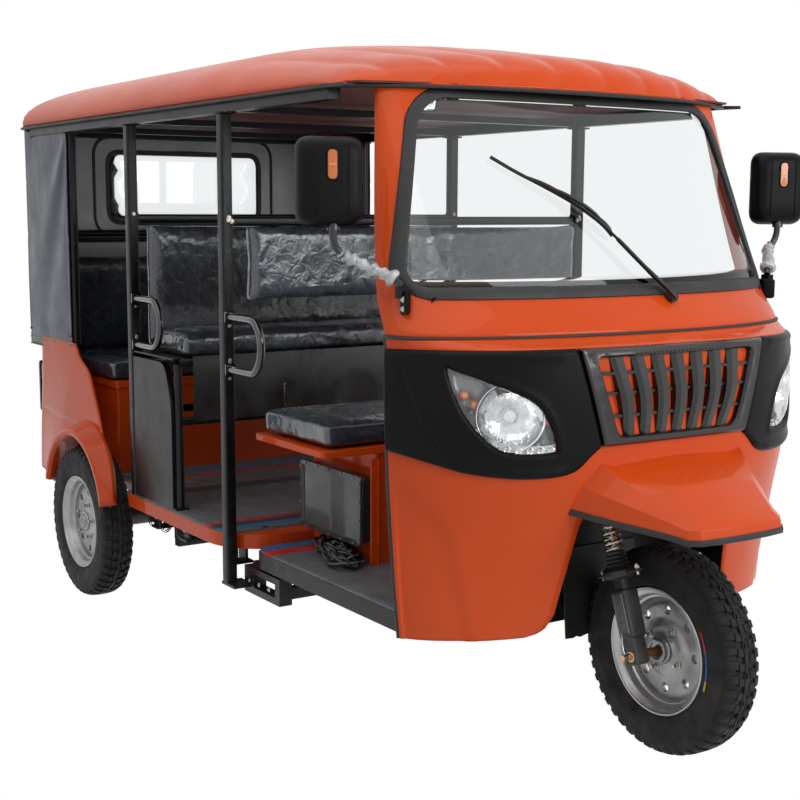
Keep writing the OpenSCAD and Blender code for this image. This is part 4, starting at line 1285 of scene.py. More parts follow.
def make_underbody():
    """Step brackets, clamps, a mud flap and hangers below the floor."""
    under, bolts = Shape(), Shape()
    for y in (B_Y - 226, 1640):
        under.box((330, y, 250), (566, y + 30, 282))
    for y in (B_Y + 40, 1500, 1720):
        for x in (560, 592):
            under.box((x - 4, y, 300), (x + 4, y + 46, 356))
        under.box((540, y, 296), (604, y + 46, 304))
        bolt(bolts, (598, y + 23, 330), (1, 0, 0), 6, 5)
    for y in (1560, 1690, 1780):
        rows = [[Vector((588 + 16 * math.cos(t), y + u, 322 + 26 * math.sin(t))) for u in (-3, 3)]
                for t in spread(0, TURN, 20)]
        under.grid([[row[0], row[1]] for row in rows])
        under.grid([[row[0] * 1.0 + Vector((6 * math.cos(t), 0, 6 * math.sin(t))),
                     row[1] + Vector((6 * math.cos(t), 0, 6 * math.sin(t)))]
                    for row, t in zip(rows, spread(0, TURN, 20))])
    for y in (B_Y - 180, B_Y - 120, B_Y - 60):
        bolt(bolts, (604, y, 274), (1, 0, 0), 6, 5)
    under.mirrored().build("step_brackets", "body", "black_steel", [black_paint()], thickness=2.0, crease=25)
    bolts.mirrored().build("step_bolts", "body", "rim_silver", [bright_steel()], crease=25)
    flap = Shape()
    rng = random.Random(9)
    low = [(126 - 252 * k / 21, 236 + 5 * rng.random()) for k in range(22)]
    outline = [(-118, 470), (-126, 400)] + [(-x, z) for x, z in low] + [(126, 400), (118, 470)]
    flap.prism(outline, (0, 4), lambda u, v, w: Vector((u, 262 + w - (470 - v) * 0.09, v)))
    flap.build("mud_flap", "body", "rubber_trim", [seal_rubber()], bevel=1.0)


# ---- wheels and fork ---------------------------------------------------------------------------------


def make_tyre(name, centre, body, node, side, phase=0.0):
    """A block-treaded tyre; side is the outer face's direction."""
    blocks = bpy.context.scene.rickshaw_detail.tread_blocks
    half = TYRE_W / 2
    cross = [(0.50, 146), (0.72, 158), (0.80, 160), (0.86, 165), (0.90, 170), (0.905, 173), (0.93, 175),
             (0.955, 184),
             (0.975, 192), (0.98, 196), (0.985, 198), (0.975, 205), (0.97, 216), (0.955, 222), (0.965, 224),
             (0.945, 232)]
    tread = [(1.00, 0.935, 238, 0), (1.0, 0.905, 243.5, 1), (0.9, 0.86, 247.5, 1), (0.8, 0.80, 250.5, 1),
             (0.72, 0.66, 254.0, 1), (0.60, 0.52, 256.4, 1), (0.56, 0.50, 256.6, 1), (0.55, 0.485, 256.8, 0),
             (0.50, 0.45, 257.0, 0), (0.49, 0.435, 257.2, 2), (0.30, 0.27, 257.8, 2), (0.17, 0.17, 258.0, 2),
             (0.16, 0.155, 258.0, 0), (0.10, 0.125, 258.0, 0), (0.09, 0.11, 258.0, 3), (0.0, 0.0, 258.0, 3)]
    fracs = (0.0, 0.045, 0.30, 0.56, 0.605, 0.80)
    count = blocks * len(fracs)
    rows = []

    def ring(s, r, kind, shift):
        row = []
        for k in range(count):
            block, f = divmod(k, len(fracs))
            part = fracs[f]
            lift = 1.0 if 0.04 < part < 0.6 else 0.0
            if kind == 0:
                lift = 0.0
            if kind == 3:
                lift = 1.0 if part < 0.6 or block % 2 else 0.35
            t = TURN * (block + part + shift + phase) / blocks
            d = 0.0 if kind is None else (1 - lift) * (6.5 if kind else 7.5)
            rr = r - d
            row.append(Vector(centre) + Vector((s * half * side, rr * math.sin(t), rr * math.cos(t))))
        return row

    for sign in (1, -1):
        for s, r in cross:
            rows.append(ring(sign * s, r, None, 0.0))
        for bend, s, r, kind in tread:
            zig = 0.16 * (1 if kind == 1 else -1) * (bend if kind == 1 else 1 - bend)
            rows.append(ring(sign * s, r, kind, zig + (0.5 if sign < 0 else 0)))
        if sign == 1:
            first, rows = rows, []
    rows = first + rows[::-1]
    shape = Shape().grid([row + row[:1] for row in rows])
    marks = {1: (60, 74), 2: (74, 77), 3: (77, 98), 4: (98, 106)}
    if node == "front_tyre":
        for i, (lo, hi) in marks.items():
            arc = []
            for deg in spread(lo, hi, 8):
                t = math.radians(deg)
                arc.append([Vector(centre) + Vector((side * half * s, -r * math.sin(t), r * math.cos(t)))
                            for s, r in ((0.925, 174.5), (0.95, 178.0), (0.97, 182.5))])
            shape.grid(arc, i)
    slot_looks = [tread_rubber(), flat_colour("Red mark", (0.55, 0.01, 0.01)),
                  flat_colour("Grey mark", (0.12, 0.13, 0.13)),
                  flat_colour("Blue mark", (0.01, 0.09, 0.42)), flat_colour("Yellow mark", (0.62, 0.52, 0.05))]
    shape.build(name, body, "tyre_rubber", slot_looks, [node], closed=False, crease=34)


def make_rim(name, centre, body, node, side, front):
    """A stepped steel rim with a dished, holed disc and its hub."""
    shape = Shape()
    outer = [(141.6, 6), (143, 30), (147, 36), (151, 38), (154, 41), (157.5, 43), (158.5, 46), (156.5, 48.5),
             (153.5, 47.5), (151.5, 43.5), (148, 41), (143.5, 38.5), (139, 34), (137, 30), (136.4, 22),
             (134, 17),
             (131, 16), (129, 14), (128, 8), (127.5, 2)]
    inner = [(141.6, 6), (141.6, -20), (146, -34), (151, -38), (156, -41), (158, -46), (155, -48), (151, -43),
             (143, -38), (137, -30), (135.6, -14), (127.5, 2)]
    place = Vector(centre)
    for profile in (outer, inner):
        shape.turn([(r, side * d) for r, d in profile], place, "X", 96)
    holes = []
    ring = 98.0
    for k in range(8):
        t = TURN * k / 8
        holes.append([(ring * math.cos(t) + 12 * math.cos(q), ring * math.sin(t) + 12 * math.sin(q))
                      for q in round_turn(16)])
    circle = [(127.5 * math.cos(q), 127.5 * math.sin(q)) for q in round_turn(96)]
    middle = [(30 * math.cos(q), 30 * math.sin(q)) for q in round_turn(48)]

    def dish(r):
        return hermite([(28, 24), (34, 24), (38, 19), (60, 15), (66, 13), (78, 9), (96, 9.5), (112, 10),
                        (121, 6),
                        (127.5, 2)], r)[0]

    points, faces, loops = filled(circle, holes + [middle], 9.0, (2.5,))
    shape.add([place + Vector((side * dish(p.length), p.x, p.y)) for p, _ in points], faces, 1)
    for loop in loops[1:-1]:
        rows = [[place + Vector((side * (dish(p.length) - d), p.x, p.y)) for d in (0, 3, 12)] for p in loop]
        shape.grid(rows + rows[:1], 1)
    hub = [(34, 20), (35, 30), (33, 33), (30, 34), (29, 42), (27, 44), (22, 44), (21, 40), (14, 38), (12, 36)]
    if not front:
        hub = [(34, 20), (35, 26), (33, 29), (24, 31), (22, 36), (14, 37), (9, 34), (0.1, 34)]
    shape.turn([(r, side * d) for r, d in hub], place, "X", 40, 2)
    for k in range(4 if front else 5):
        t = TURN * k / (4 if front else 5) + 0.5
        spot = place + Vector((side * (dish(56) + 0.5), 56 * math.cos(t), 56 * math.sin(t)))
        bolt(shape, spot, (side, 0, 0), 8.5, 9, 3)
        shape.tube([spot + Vector((side * 4, 0, 0)), spot + Vector((side * 17, 0, 0))], 4.6, 10, 3)
    back = [(44, -20), (70, -18), (92, -12), (96, -4), (96, 2), (60, 4)]
    shape.turn([(r, side * d) for r, d in back], place, "X", 48, 2)
    dish_grey = finish("Wheel dish paint", (0.34, 0.345, 0.35), rough=0.4, metal=0.55, tone=0.3,
                       tone_scale=14.0,
                       spread=0.14, grain=(260.0, 0.1), dust=0.4)
    cast = finish("Hub casting", (0.28, 0.285, 0.29), rough=0.34, metal=0.7, tone=0.2, tone_scale=20.0,
                  grain=(200.0, 0.12))
    shape.build(name, body, "rim_silver",
                [rim_silver() if front else dish_grey_rear(), dish_grey if front else dish_grey_rear(),
                                           cast, bright_steel()], [node], closed=False, crease=32)


def dish_grey_rear():
    return finish("Rear wheel paint", (0.40, 0.40, 0.41), rough=0.4, metal=0.6, tone=0.2, tone_scale=12.0,
                  spread=0.14, grain=(240.0, 0.08), dust=0.5)


def make_wheels():
    make_tyre("front_tread", (0, 0, TYRE_R), "front_wheel", "front_tyre", -1)
    make_rim("front_wheel_rim", (0, 0, TYRE_R), "front_wheel", "front_rim", -1, True)
    for side, label in ((1, "left"), (-1, "right")):
        hub = (side * REAR_AXLE.x, REAR_AXLE.y, TYRE_R)
        make_tyre("rear_tread_" + label, hub, "rear_wheel_" + label, "rear_tyre_" + label, side, 0.3)
        make_rim("rear_wheel_rim_" + label, hub, "rear_wheel_" + label, "rear_rim_" + label, side, False)


RAKE = math.radians(20)
FORK_X = 105.0
STEM_OFF = TYRE_R * math.sin(RAKE) - 40 * math.cos(RAKE)


def on_fork(x, along, off=0.0):
    """A point beside a fork leg: along it above the axle, off it rearward."""
    return Vector((x, along * math.sin(RAKE) + off * math.cos(RAKE),
                   TYRE_R + along * math.cos(RAKE) - off * math.sin(RAKE)))


def make_fork():
    """Leg castings, boots, coil springs, clamps, crown and axle."""
    cast, bright, spring, plate, shaft, rubber = (Shape() for _ in range(6))

    def disc(shape, x, rings, sides=28, slot=0):
        shape.grid([[on_fork(x + r * math.cos(q), t, r * math.sin(q)) for q in round_turn(sides)]
                    for r, t in rings], slot, ring=True)

    def block(shape, x, low, high, half_x, front, rear, r=6):
        rows = []
        for t, grow in ((low, -4), (low + 4, 0), (high - 4, 0), (high, -4)):
            rows.append([on_fork(x + u, t, (rear + front) / 2 + v)
                         for u, v in cushion_loop(half_x + grow, (rear - front) / 2 + grow, r, 3)])
        shape.grid(rows, ring=True)
        shape.add(rows[0], [tuple(range(len(rows[0])))])
        shape.add(rows[-1], [tuple(range(len(rows[-1]) - 1, -1, -1))])

    for side in (-1, 1):
        x = side * FORK_X
        face = x + side * 24
        block(cast, x, -22, 60, 21, -20, 24)
        block(cast, x, 44, 162, 24, -26, 24)
        block(cast, x, 150, 196, 13, -18, 18)
        disc(cast, x, [(0.1, 186), (22, 187), (37, 192), (40, 198), (40, 206), (36, 210), (20, 211)])
        plate.grid([[on_fork(face + side * 0.8, a, o) for o in (-16, 14)] for a in spread(58, 150, 4)])
        frame_line = [(-17, 56), (15, 56), (15, 152), (-17, 152)]
        cast.tube([on_fork(face + side * 0.6, a, o) for o, a in frame_line], 1.6, 6, 1, closed=True)
        disc(rubber, x, [((33 - 0.9 * k) if k % 2 else (27 - 0.6 * k), 208 + 5 * k) for k in range(11)])
        for off in (-72, 72):
            cast.tube([on_fork(x, 201, 0), on_fork(x, 201, off * 0.6), on_fork(x, 201, off)], [20, 14, 10], 12,
                      0, flat=0.38)
            bright.tube([on_fork(x, 190, off * 0.9), on_fork(x, 216, off * 0.9)], 4, 10)
            bolt(bright, on_fork(x, 206, off * 0.9), on_fork(0, 1) - on_fork(0, 0), 8.5, 9)
        turns, low, top = 9, 256, 372
        coil = []
        for k in range(turns * 20 + 1):
            q = TURN * k / 20
            coil.append(on_fork(x + 20 * math.cos(q), low + (top - low) * k / (turns * 20), 20 * math.sin(q)))
        spring.tube(coil, 4.6, 8)
        bright.tube([on_fork(x, 250), on_fork(x, 378)], 11, 20)
        disc(cast, x, [(10, 366), (27, 368), (29, 372), (29, 392), (20, 396), (0.1, 396)])
        nut = on_fork(x + side * 21, 0)
        bolt(bright, nut, (side, 0, 0), 13, 12, 1)
        bright.tube([nut, nut + Vector((side * 26, 0, 0))], 7.5, 16, 1)
        cable = through([on_fork(face, 58, 10), on_fork(face + side * 3, 26, 14), on_fork(face, 4, 12),
                         on_fork(x, -16, 6)], 5)
        bright.tube(cable, 1.8, 6)
    crown = []
    for t, grow in ((374, -4), (378, 0), (392, 0), (397, -4)):
        crown.append([on_fork((FORK_X + 26 + grow) * math.cos(q), t,
                              (34 + grow) * math.sin(q) + STEM_OFF * (1 - abs(math.cos(q))))
                      for q in round_turn(48)])
    cast.grid(crown, ring=True)
    cast.add(crown[0], [tuple(range(48))])
    cast.add(crown[-1], [tuple(range(47, -1, -1))])
    cast.tube([on_fork(0, 376, STEM_OFF), on_fork(0, 750, STEM_OFF)], 16, 24)
    shaft.tube([(-FORK_X - 20, 0, TYRE_R), (FORK_X + 20, 0, TYRE_R)], 11.2, 24)
    brown = finish("Axle brown", (0.22, 0.09, 0.03), rough=0.35, metal=0.5, tone=0.4, tone_scale=30.0,
                   grain=(200.0, 0.15))
    edge = flat_colour("Casting edge", (0.24, 0.24, 0.24), 0.4)
    pale = finish("Blank plate", (0.10, 0.10, 0.105), rough=0.45, tone=0.3, tone_scale=60.0, grain=(180.0, 0.3))
    gilt = finish("Plated nut", (0.55, 0.36, 0.22), rough=0.25, metal=1.0, tone=0.3, tone_scale=40.0,
                  grain=(200.0, 0.1))
    cast.build("fork_castings", "steering", "cast_black", [cast_black(), edge], ["fork"], crease=34)
    plate.build("fork_plates", "steering", "box_grey", [pale], closed=False)
    rubber.build("fork_boots", "steering", "rubber_trim", [seal_rubber()], closed=False, crease=60)
    spring.build("fork_coils", "steering", "spring_chrome", [bright_steel()], ["fork_springs"])
    bright.build("fork_bright_parts", "steering", "spring_chrome", [bright_steel(), gilt], crease=30)
    shaft.build("fork_axle", "steering", "cast_black", [brown])


def make_handlebar():
    """A bent handlebar with grips, levers and a small pod."""
    bar, grips, pod = Shape(), Shape(), Shape()
    line = [on_fork(0, 784, STEM_OFF), on_fork(90, 786, STEM_OFF), on_fork(150, 784, STEM_OFF)]
    out = on_fork(0, 784, STEM_OFF + 1) - on_fork(0, 784, STEM_OFF)
    far = Vector((math.sin(math.radians(54)), 0, 0)) + out * math.cos(math.radians(54))
    line += [line[-1] + far * 35, line[-1] + far * 155]
    bar.tube(through(line, 6), 11, 16)
    grip_path = [line[2] + far * d for d in (40, 50, 70, 90, 110, 130, 150, 158)]
    grips.tube(grip_path, [14, 17, 15, 16, 15, 16, 17, 12], 20)
    lever = through([line[2] + far * 30 - out * 26, line[2] + far * 60 - out * 48,
                     line[2] + far * 140 - out * 52], 5)
    bar.tube(lever, 5, 8, 1, flat=0.6)
    bar.mirrored()
    bar.turn([(0.1, -30), (28, -30), (30, -26), (30, 22), (26, 28), (0.1, 29)], (0, 0, 0), "Z", 32)
    last = 32 * 6
    for i in range(len(bar.points) - last, len(bar.points)):
        x, y, z = bar.points[i]
        bar.points[i] = tuple(on_fork(x, 770 + z, STEM_OFF + y))
    pod_rows = []
    for w, h, d in ((40, 22, 0), (58, 34, 8), (64, 38, 30), (60, 34, 52), (40, 20, 60)):
        pod_rows.append([on_fork(u, 796 + d, STEM_OFF + v) for u, v in cushion_loop(w, h, 14, 4)])
    pod.grid(pod_rows, ring=True)
    pod.add(pod_rows[-1], [tuple(range(len(pod_rows[-1])))])
    bar.build("handlebar_tube", "steering", "black_steel", [black_paint(), bright_steel()], ["handlebar"])
    grips.mirrored().build("handlebar_grips", "steering", "rubber_trim", [seal_rubber()])
    pod.build("handlebar_pod", "steering", "black_plastic", [moulding()], crease=40)


# ---- seats --------------------------------------------------------------------------------------


def swell(points, faces, cap, pressure=4.0):
    """Cloth run on a closed mesh: returns its points after pressure has swelled it."""
    mesh = bpy.data.meshes.new("swell")
    mesh.from_pydata([at(*p) for p in points], [], faces)
    piece = bpy.data.objects.new("swell", mesh)
    bpy.context.scene.collection.objects.link(piece)
    cloth = piece.modifiers.new("Cloth", "CLOTH")
    s = cloth.settings
    s.quality = 6
    s.mass = 0.3
    s.tension_stiffness = s.compression_stiffness = 18
    s.shear_stiffness = 6
    s.bending_stiffness = 2.5
    s.use_pressure = True
    s.uniform_pressure_force = pressure
    s.effector_weights.gravity = 0
    cloth.point_cache.frame_start, cloth.point_cache.frame_end = 1, 20
    scene = bpy.context.scene
    for frame_no in range(1, 21):
        scene.frame_set(frame_no)
    graph = bpy.context.evaluated_depsgraph_get()
    done = piece.evaluated_get(graph)
    got = [Vector(v.co) for v in done.data.vertices]
    scene.frame_set(1)
    bpy.data.objects.remove(piece)
    out = []
    for p, q in zip(points, got):
        start = Vector(p)
        moved = Vector((q.x / MM, (q.y - AXLE_Y) / MM, q.z / MM)) - start
        if moved.length > cap:
            moved *= cap / moved.length
        out.append(start + moved)
    return out


def pad(name, lo, hi, body, node, bulge=10.0, seams=(), seed=1, face="Z"):
    """A stuffed, wrapped cushion filling a box: crowned, rounded, with wrapper creases.

    seams are fractions across x where a sewn channel runs.
    """
    lo, hi = Vector(lo), Vector(hi)
    size = hi - lo
    inset = 7.0
    counts = [max(3, int(size[i] / 17)) for i in range(3)]
    rng_off = Vector((seed * 17.3, seed * 5.1, seed * 9.7))
    shape = Shape()

    def place(u, v, w):
        """Unit cube coordinates to a rounded box with crowned faces."""
        t = Vector((u, v, w))
        p = Vector([lo[i] + inset + (size[i] - 2 * inset) * t[i] for i in range(3)])
        r = min(15.0, min(size) * 0.25)
        core_lo = lo + Vector((inset + r,) * 3)
        core_hi = hi - Vector((inset + r,) * 3)
        core = Vector([min(max(p[i], core_lo[i]), core_hi[i]) for i in range(3)])
        off = p - core
        if off.length > 1e-6:
            biggest = max(abs(c) for c in off)
            off = off.normalized() * min(r, biggest if biggest < r else r)
        return core + off

    def coords(n):
        return [0.5 - 0.5 * math.cos(math.pi * k / n) if n < 6 else k / n for k in range(n + 1)]

    nx, ny, nz = counts
    grids = []
    ux, uy, uz = coords(nx), coords(ny), coords(nz)
    for w in (0, 1):
        grids.append([[place(u, v, w) for u in ux] for v in (uy if w else uy[::-1])])
    for v in (0, 1):
        grids.append([[place(u, v, w) for u in ux] for w in (uz[::-1] if v else uz)])
    for u in (0, 1):
        grids.append([[place(u, v, w) for v in uy] for w in (uz if u else uz[::-1])])
    for rows in grids:
        shape.grid(rows)
    work = bmesh.new()
    verts = [work.verts.new(p) for p in shape.points]
    for f in shape.faces:
        try:
            work.faces.new([verts[i] for i in f])
        except ValueError:
            continue
    bmesh.ops.remove_doubles(work, verts=work.verts, dist=1.0)
    bmesh.ops.recalc_face_normals(work, faces=work.faces)
    work.verts.ensure_lookup_table()
    points = [v.co.copy() for v in work.verts]
    faces = [[v.index for v in f.verts] for f in work.faces]
    work.free()
    points = swell(points, faces, bulge)
    axis = {"X": 0, "Y": 1, "Z": 2}[face]
    across = [i for i in range(3) if i != axis]
    out = []
    for p in points:
        t = [(p[i] - lo[i]) / size[i] for i in range(3)]
        crown = 1.0
        for i in across:
            crown *= max(0.0, 1 - abs(2 * t[i] - 1) ** 3.0)
        side = 1 if t[axis] > 0.5 else -1
        q = p.copy()
        push = crown * 4.0
        if axis == 1:
            side = -1 if t[axis] < 0.5 else 0
        else:
            side = 1 if side > 0 else 0
        q[axis] += side * push
        for seam in seams:
            near = (t[0] - seam) * size[0] / 9.0
            dip = math.exp(-near * near) * 6.0
            if axis == 1 and t[1] < 0.5:
                q[1] += dip
            elif axis == 2 and t[2] > 0.5:
                q[2] -= dip
        rip = noise.noise((p + rng_off) * 0.012) * 2.6 + noise.noise((p + rng_off) * 0.03) * 1.6
        q += (p - (lo + hi) / 2).normalized() * rip
        for i in range(3):
            q[i] = min(max(q[i], lo[i] - 3), hi[i] + (6 if i == axis else 3))
        out.append(q)
    piece_shape = Shape().add(out, faces)
    piece = piece_shape.build(name, body, "seat_vinyl", [wrapped_vinyl()], [node] if node else [], levels=1,
                              crease=180)
    return piece


def make_driver_place():
    """The driver's bench and its orange tray, the backrest and the dash."""
    lo, hi = node_box("driver_cushions")
    base_lo, base_hi = node_box("driver_seat_base")
    seat_z = base_hi.z
    pad("driver_seat_pad", (-572, lo.y, seat_z), (572, base_hi.y - 6, seat_z + 72), "body", "driver_cushions",
        seed=2,
        bulge=9)
    pad("driver_back_pad", (-598, hi.y - 50, 1058), (598, hi.y, 1288), "body", None, seed=3, face="Y", bulge=10,
        seams=(0.5,))
    tray = Shape()
    y1, y2 = base_lo.y, base_hi.y
    rim = []
    for z, grow in ((seat_z - 20, -3), (seat_z - 18, 0), (seat_z - 2, 0), (seat_z - 0.5, -1.5),
                    (seat_z - 0.5, -14)):
        loop = cushion_loop(576 + grow, (y2 - y1) / 2 + grow, 14, 4)
        rim.append([Vector((u, (y1 + y2) / 2 + v, z)) for u, v in loop])
    tray.grid(rim, ring=True)
    tray.add(rim[0], [tuple(range(len(rim[0])))])
    tray.add(rim[-1], [tuple(range(len(rim[-1])))])
    box_rows = []
    for z in spread(CAB_FLOOR_Z + 6, seat_z - 19, 8):
        box_rows.append([Vector((u, (y1 + y2) / 2 - 8 + v, z))
                         for u, v in cushion_loop(404, (y2 - y1) / 2 - 20, 12, 4)])
    tray.grid(box_rows, ring=True)
    for x in (-398, 398):
        tray.grid([[Vector((x + math.copysign(d, x), 708 - h, z))
                    for d, h in ((-26, 0), (-24, 3), (0, 3), (4, 0), (4, 8))]
                   for z in (CAB_FLOOR_Z + 8, seat_z - 34)])
    tray.build("driver_tray", "body", "orange_paint", [paint()], ["driver_seat_base"], closed=False, crease=40)
    dash = Shape()
    lo, hi = node_box("dashboard")
    rows = []
    for y, z in ((hi.y, hi.z - 4), (hi.y + 6, hi.z - 12), (hi.y + 8, hi.z - 60), (hi.y - 2, lo.z + 4),
                 (hi.y - 30, lo.z)):
        rows.append([Vector((x, y - 10 * (abs(x) / 560) ** 3, z)) for x in spread(-545, 545, 30)])
    dash.grid(rows)
    for x in (-300, 300):
        dash.turn([(46, 6), (48, 10), (40, 12), (36, 8), (0.1, 8)], (x, hi.y, hi.z - 50), "Y", 32)
    dash.box((-90, hi.y + 2, hi.z - 82), (90, hi.y + 16, hi.z - 30), 0)
    dash.build("dash_panel", "body", "black_plastic", [moulding()], closed=False, crease=30)


def make_control_box():
    """The thin grey box on the near end of the driver's bench, flanged and bolted, and the wires by it."""
    lo, hi = node_box("control_box")
    mid_y, mid_z = (lo.y + hi.y) / 2, (lo.z + hi.z) / 2
    half_y, half_z = (hi.y - lo.y) / 2, (hi.z - lo.z) / 2
    box, bolts, wires = Shape(), Shape(), Shape()
    rows = []
    for inset, depth in ((2, 12), (0, 9), (0, 4), (2, 1), (12, 0), (15, -1), (17, 4), (22, 4), (60, 3),
                         (half_z - 0.1, 3)):
        rows.append([Vector((lo.x + depth, mid_y + u, mid_z + v))
                     for u, v in cushion_loop(half_y - inset, half_z - inset, max(0.1, 14 - inset * 0.5), 5)])
    box.grid(rows, ring=True)
    rows = [[Vector((x, mid_y + u, mid_z + v)) for u, v in cushion_loop(half_y - 9, half_z - 9, 12, 5)]
            for x in spread(lo.x + 9, hi.x, 4)]
    box.grid(rows, ring=True)
    for z in spread(lo.z + 20, hi.z - 20, 3):
        for y in (lo.y + 7, hi.y - 7):
            bolt(bolts, (lo.x - 0.5, y, z), (-1, 0, 0), 2.6, 3)
    for y in spread(lo.y + 34, hi.y - 34, 4):
        for z in (lo.z + 7, hi.z - 7):
            bolt(bolts, (lo.x - 0.5, y, z), (-1, 0, 0), 2.6, 3)
    rng = random.Random(21)
    for k in range(30):
        t = k / 29
        base = Vector((-500 + 70 * t + 24 * rng.random(), 735 + 190 * t, CAB_FLOOR_Z + 9))
        loop = []
        span = 26 + 26 * rng.random()
        for j in range(9):
            turn = TURN * j / 9 + k
            loop.append(base + Vector((span * 0.7 * math.cos(turn), span * 1.2 * math.sin(turn),
                                       6 + 10 * rng.random()
                                       + 26 * rng.random() * (0.5 + 0.5 * math.sin(turn * 2 + k)))))
        wires.tube(through(loop, 5, closed=True), 4.0 + 2.6 * rng.random(), 8, closed=True)
    box.build("control_box", "body", "box_grey", [box_grey()], ["control_box"], closed=False, crease=34)
    bolts.build("control_box_bolts", "body", "rim_silver", [bright_steel()], crease=25)
    wires.build("wire_bundle", "body", "rubber_trim",
                [finish("Wire sleeve", (0.008, 0.008, 0.009), rough=0.4, tone=0.3, coat=0.2,
                        grain=(300.0, 0.2))], crease=70)


def make_mats():
    """Floor coverings with coloured bands."""
    blue = finish("Mat blue", (0.012, 0.16, 0.36), rough=0.5, tone=0.25, tone_scale=14.0, grain=(130.0, 0.5))
    red = finish("Mat red", (0.50, 0.025, 0.025), rough=0.5, tone=0.25, tone_scale=14.0, grain=(130.0, 0.5))
    dark = finish("Mat black", (0.03, 0.032, 0.035), rough=0.5, tone=0.25, tone_scale=14.0, grain=(130.0, 0.5))
    looks = [mat_vinyl(), blue, red, dark]
    shape = Shape()

    z = FLOOR_Z + 6
    front = 1150

    def corner(y):
        near = max(0.0, 180 - (y - 1075))
        return 640 - 175 + math.sqrt(max(0.0, 175 ** 2 - near ** 2)) if near > 5 else 640

    def run(xa, y1, y2, bands):
        edges = sorted({y1, y2, *[b for band in bands for b in band[:2] if y1 < b < y2]})
        for a, b in zip(edges, edges[1:]):
            slot = next((kind for lo, hi, kind in bands if lo <= a and b <= hi), 0)
            rows = []
            for y in spread(a, b, max(1, int((b - a) / 20))):
                half = xa(y)
                rows.append([Vector((x, y, z + 1.0 * noise.noise(Vector((x * 0.012, y * 0.012, z)))))
                             for x in spread(-half, half, 60)])
                rows[-1] = [Vector((-half - 3, y, z - 6)), Vector((-half - 2, y, z - 2))] + rows[-1] + [
                    Vector((half + 2, y, z - 2)), Vector((half + 3, y, z - 6))]
            shape.grid(rows, slot)

    run(corner, front, 1880, [(1180, 1216, 1), (1216, 1256, 3), (1256, 1284, 2), (1733, 1806, 3)])
    run(lambda y: 546 if y < 2392 else 600, 1880, 2178, [(1986, 2016, 2), (2070, 2112, 1)])
    shape.grid([[Vector((x, front - d, h)) for x in spread(-corner(front), corner(front), 60)]
                for d, h in ((0, z), (3, z - 1), (5, z - 6))])
    shape.build("passenger_mat", "body", "mat_vinyl", looks, ["floor_mats"], closed=False, crease=60)
    shape = Shape()
    z = CAB_FLOOR_Z + 6

    def cab(y):
        far = y - 1009
        return 532 + math.sqrt(max(0.0, 60 ** 2 - far ** 2)) if far > 0 else 592

    run(cab, 312, 1062, [(950, 1010, 2), (1010, 1062, 1)])
    run(lambda y: 552, 284, 312, [])
    shape.build("driver_mat", "body", "mat_vinyl", looks, closed=False, crease=60)


def make_middle_bench():
    """The middle bench: pads, side panels, skirt sheet and its tube frame."""
    lo, hi = node_box("middle_cushions")
    seat = node_box("middle_bench_frame")[1].z
    pad("middle_seat_pad", (-608, lo.y, seat), (608, lo.y + 270, seat + 72), "body", "middle_cushions", seed=5,
        seams=(), bulge=10)
    pad("middle_back_pad", (-608, hi.y - 46, seat + 2), (608, hi.y, 1286), "body", None, seed=6, face="Y",
        seams=(0.5,),
        bulge=11)
    steel = Shape()
    for side in (-1, 1):
        x = side * 630
        outline = rounded([(1512, FLOOR_Z + 6), (1512, 728), (1560, seat - 18), (1803, seat - 18),
                           (1803, FLOOR_Z + 6)],
                          [4, 60, 40, 6, 4], 5)
        steel.prism(outline, (-10, 10), lambda u, v, w: Vector((x + w, u, v)))
        steel.tube([(side * 616, 1508, FLOOR_Z + 4), (side * 616, 1508, 760), (side * 616, 1512, seat - 20)],
                   13, 12)
        steel.box((side * 616 - 22, 1494, FLOOR_Z + 6), (side * 616 + 22, 1540, FLOOR_Z + 12))
    for y, z, r in ((1508, 677, 12), (1790, 677, 12), (1508, seat - 14, 12), (1790, seat - 14, 12)):
        steel.grid([[Vector((x, y + u, z + v)) for u, v in cushion_loop(r, r, 4, 3)]
                    for x in spread(-618, 618, 12)],
                   ring=True)
    for x in (-190, 190):
        steel.box((x - 12, 1506, seat - 26), (x + 12, 1800, seat - 4))
    steel.box((-638, 1500, seat - 6), (638, 1803, seat - 0.6))
    steel.build("middle_bench_steel", "body", "black_steel", [black_paint()], ["middle_bench_frame"], bevel=1.2,
                crease=40)
    rows = []
    rng = random.Random(3)
    fold = [rng.random() for _ in range(8)]
    for z in spread(seat + 4, 676, 26):
        t = (seat - z) / (seat - 676)
        row = []
        for x in spread(-575, 575, 120):
            ripple = sum(math.sin(x * (0.006 + 0.006 * k) + 6 * fold[k] + t * 1.4) / (1 + k * 0.6)
                         for k in range(5))
            row.append(Vector((x, 1494 - 3 - 3.4 * t * ripple - 5 * math.sin(t * math.pi), z)))
        rows.append(row)
    sheet = Shape().grid(rows)
    skirt = sheet.build("middle_skirt", "body", "seat_vinyl",
                        [finish("Skirt vinyl", (0.013, 0.0135, 0.014), rough=0.36, tone=0.25, tone_scale=6.0,
                                spread=0.12,
                                coat=0.25, coat_rough=0.2, waves=(12.0, 3.0), grain=(600.0, 0.1))],
                        closed=False, crease=180)
    bits = Shape()
    bits.tube(through([(-260, 1487, 770), (-262, 1484, 740), (-258, 1486, 700)], 4), 1.2, 6)
    bolt(bits, (-260, 1486, 772), (0, -1, 0), 4, 5)
    bits.build("skirt_tie", "body", "rim_silver", [bright_steel()], crease=30)


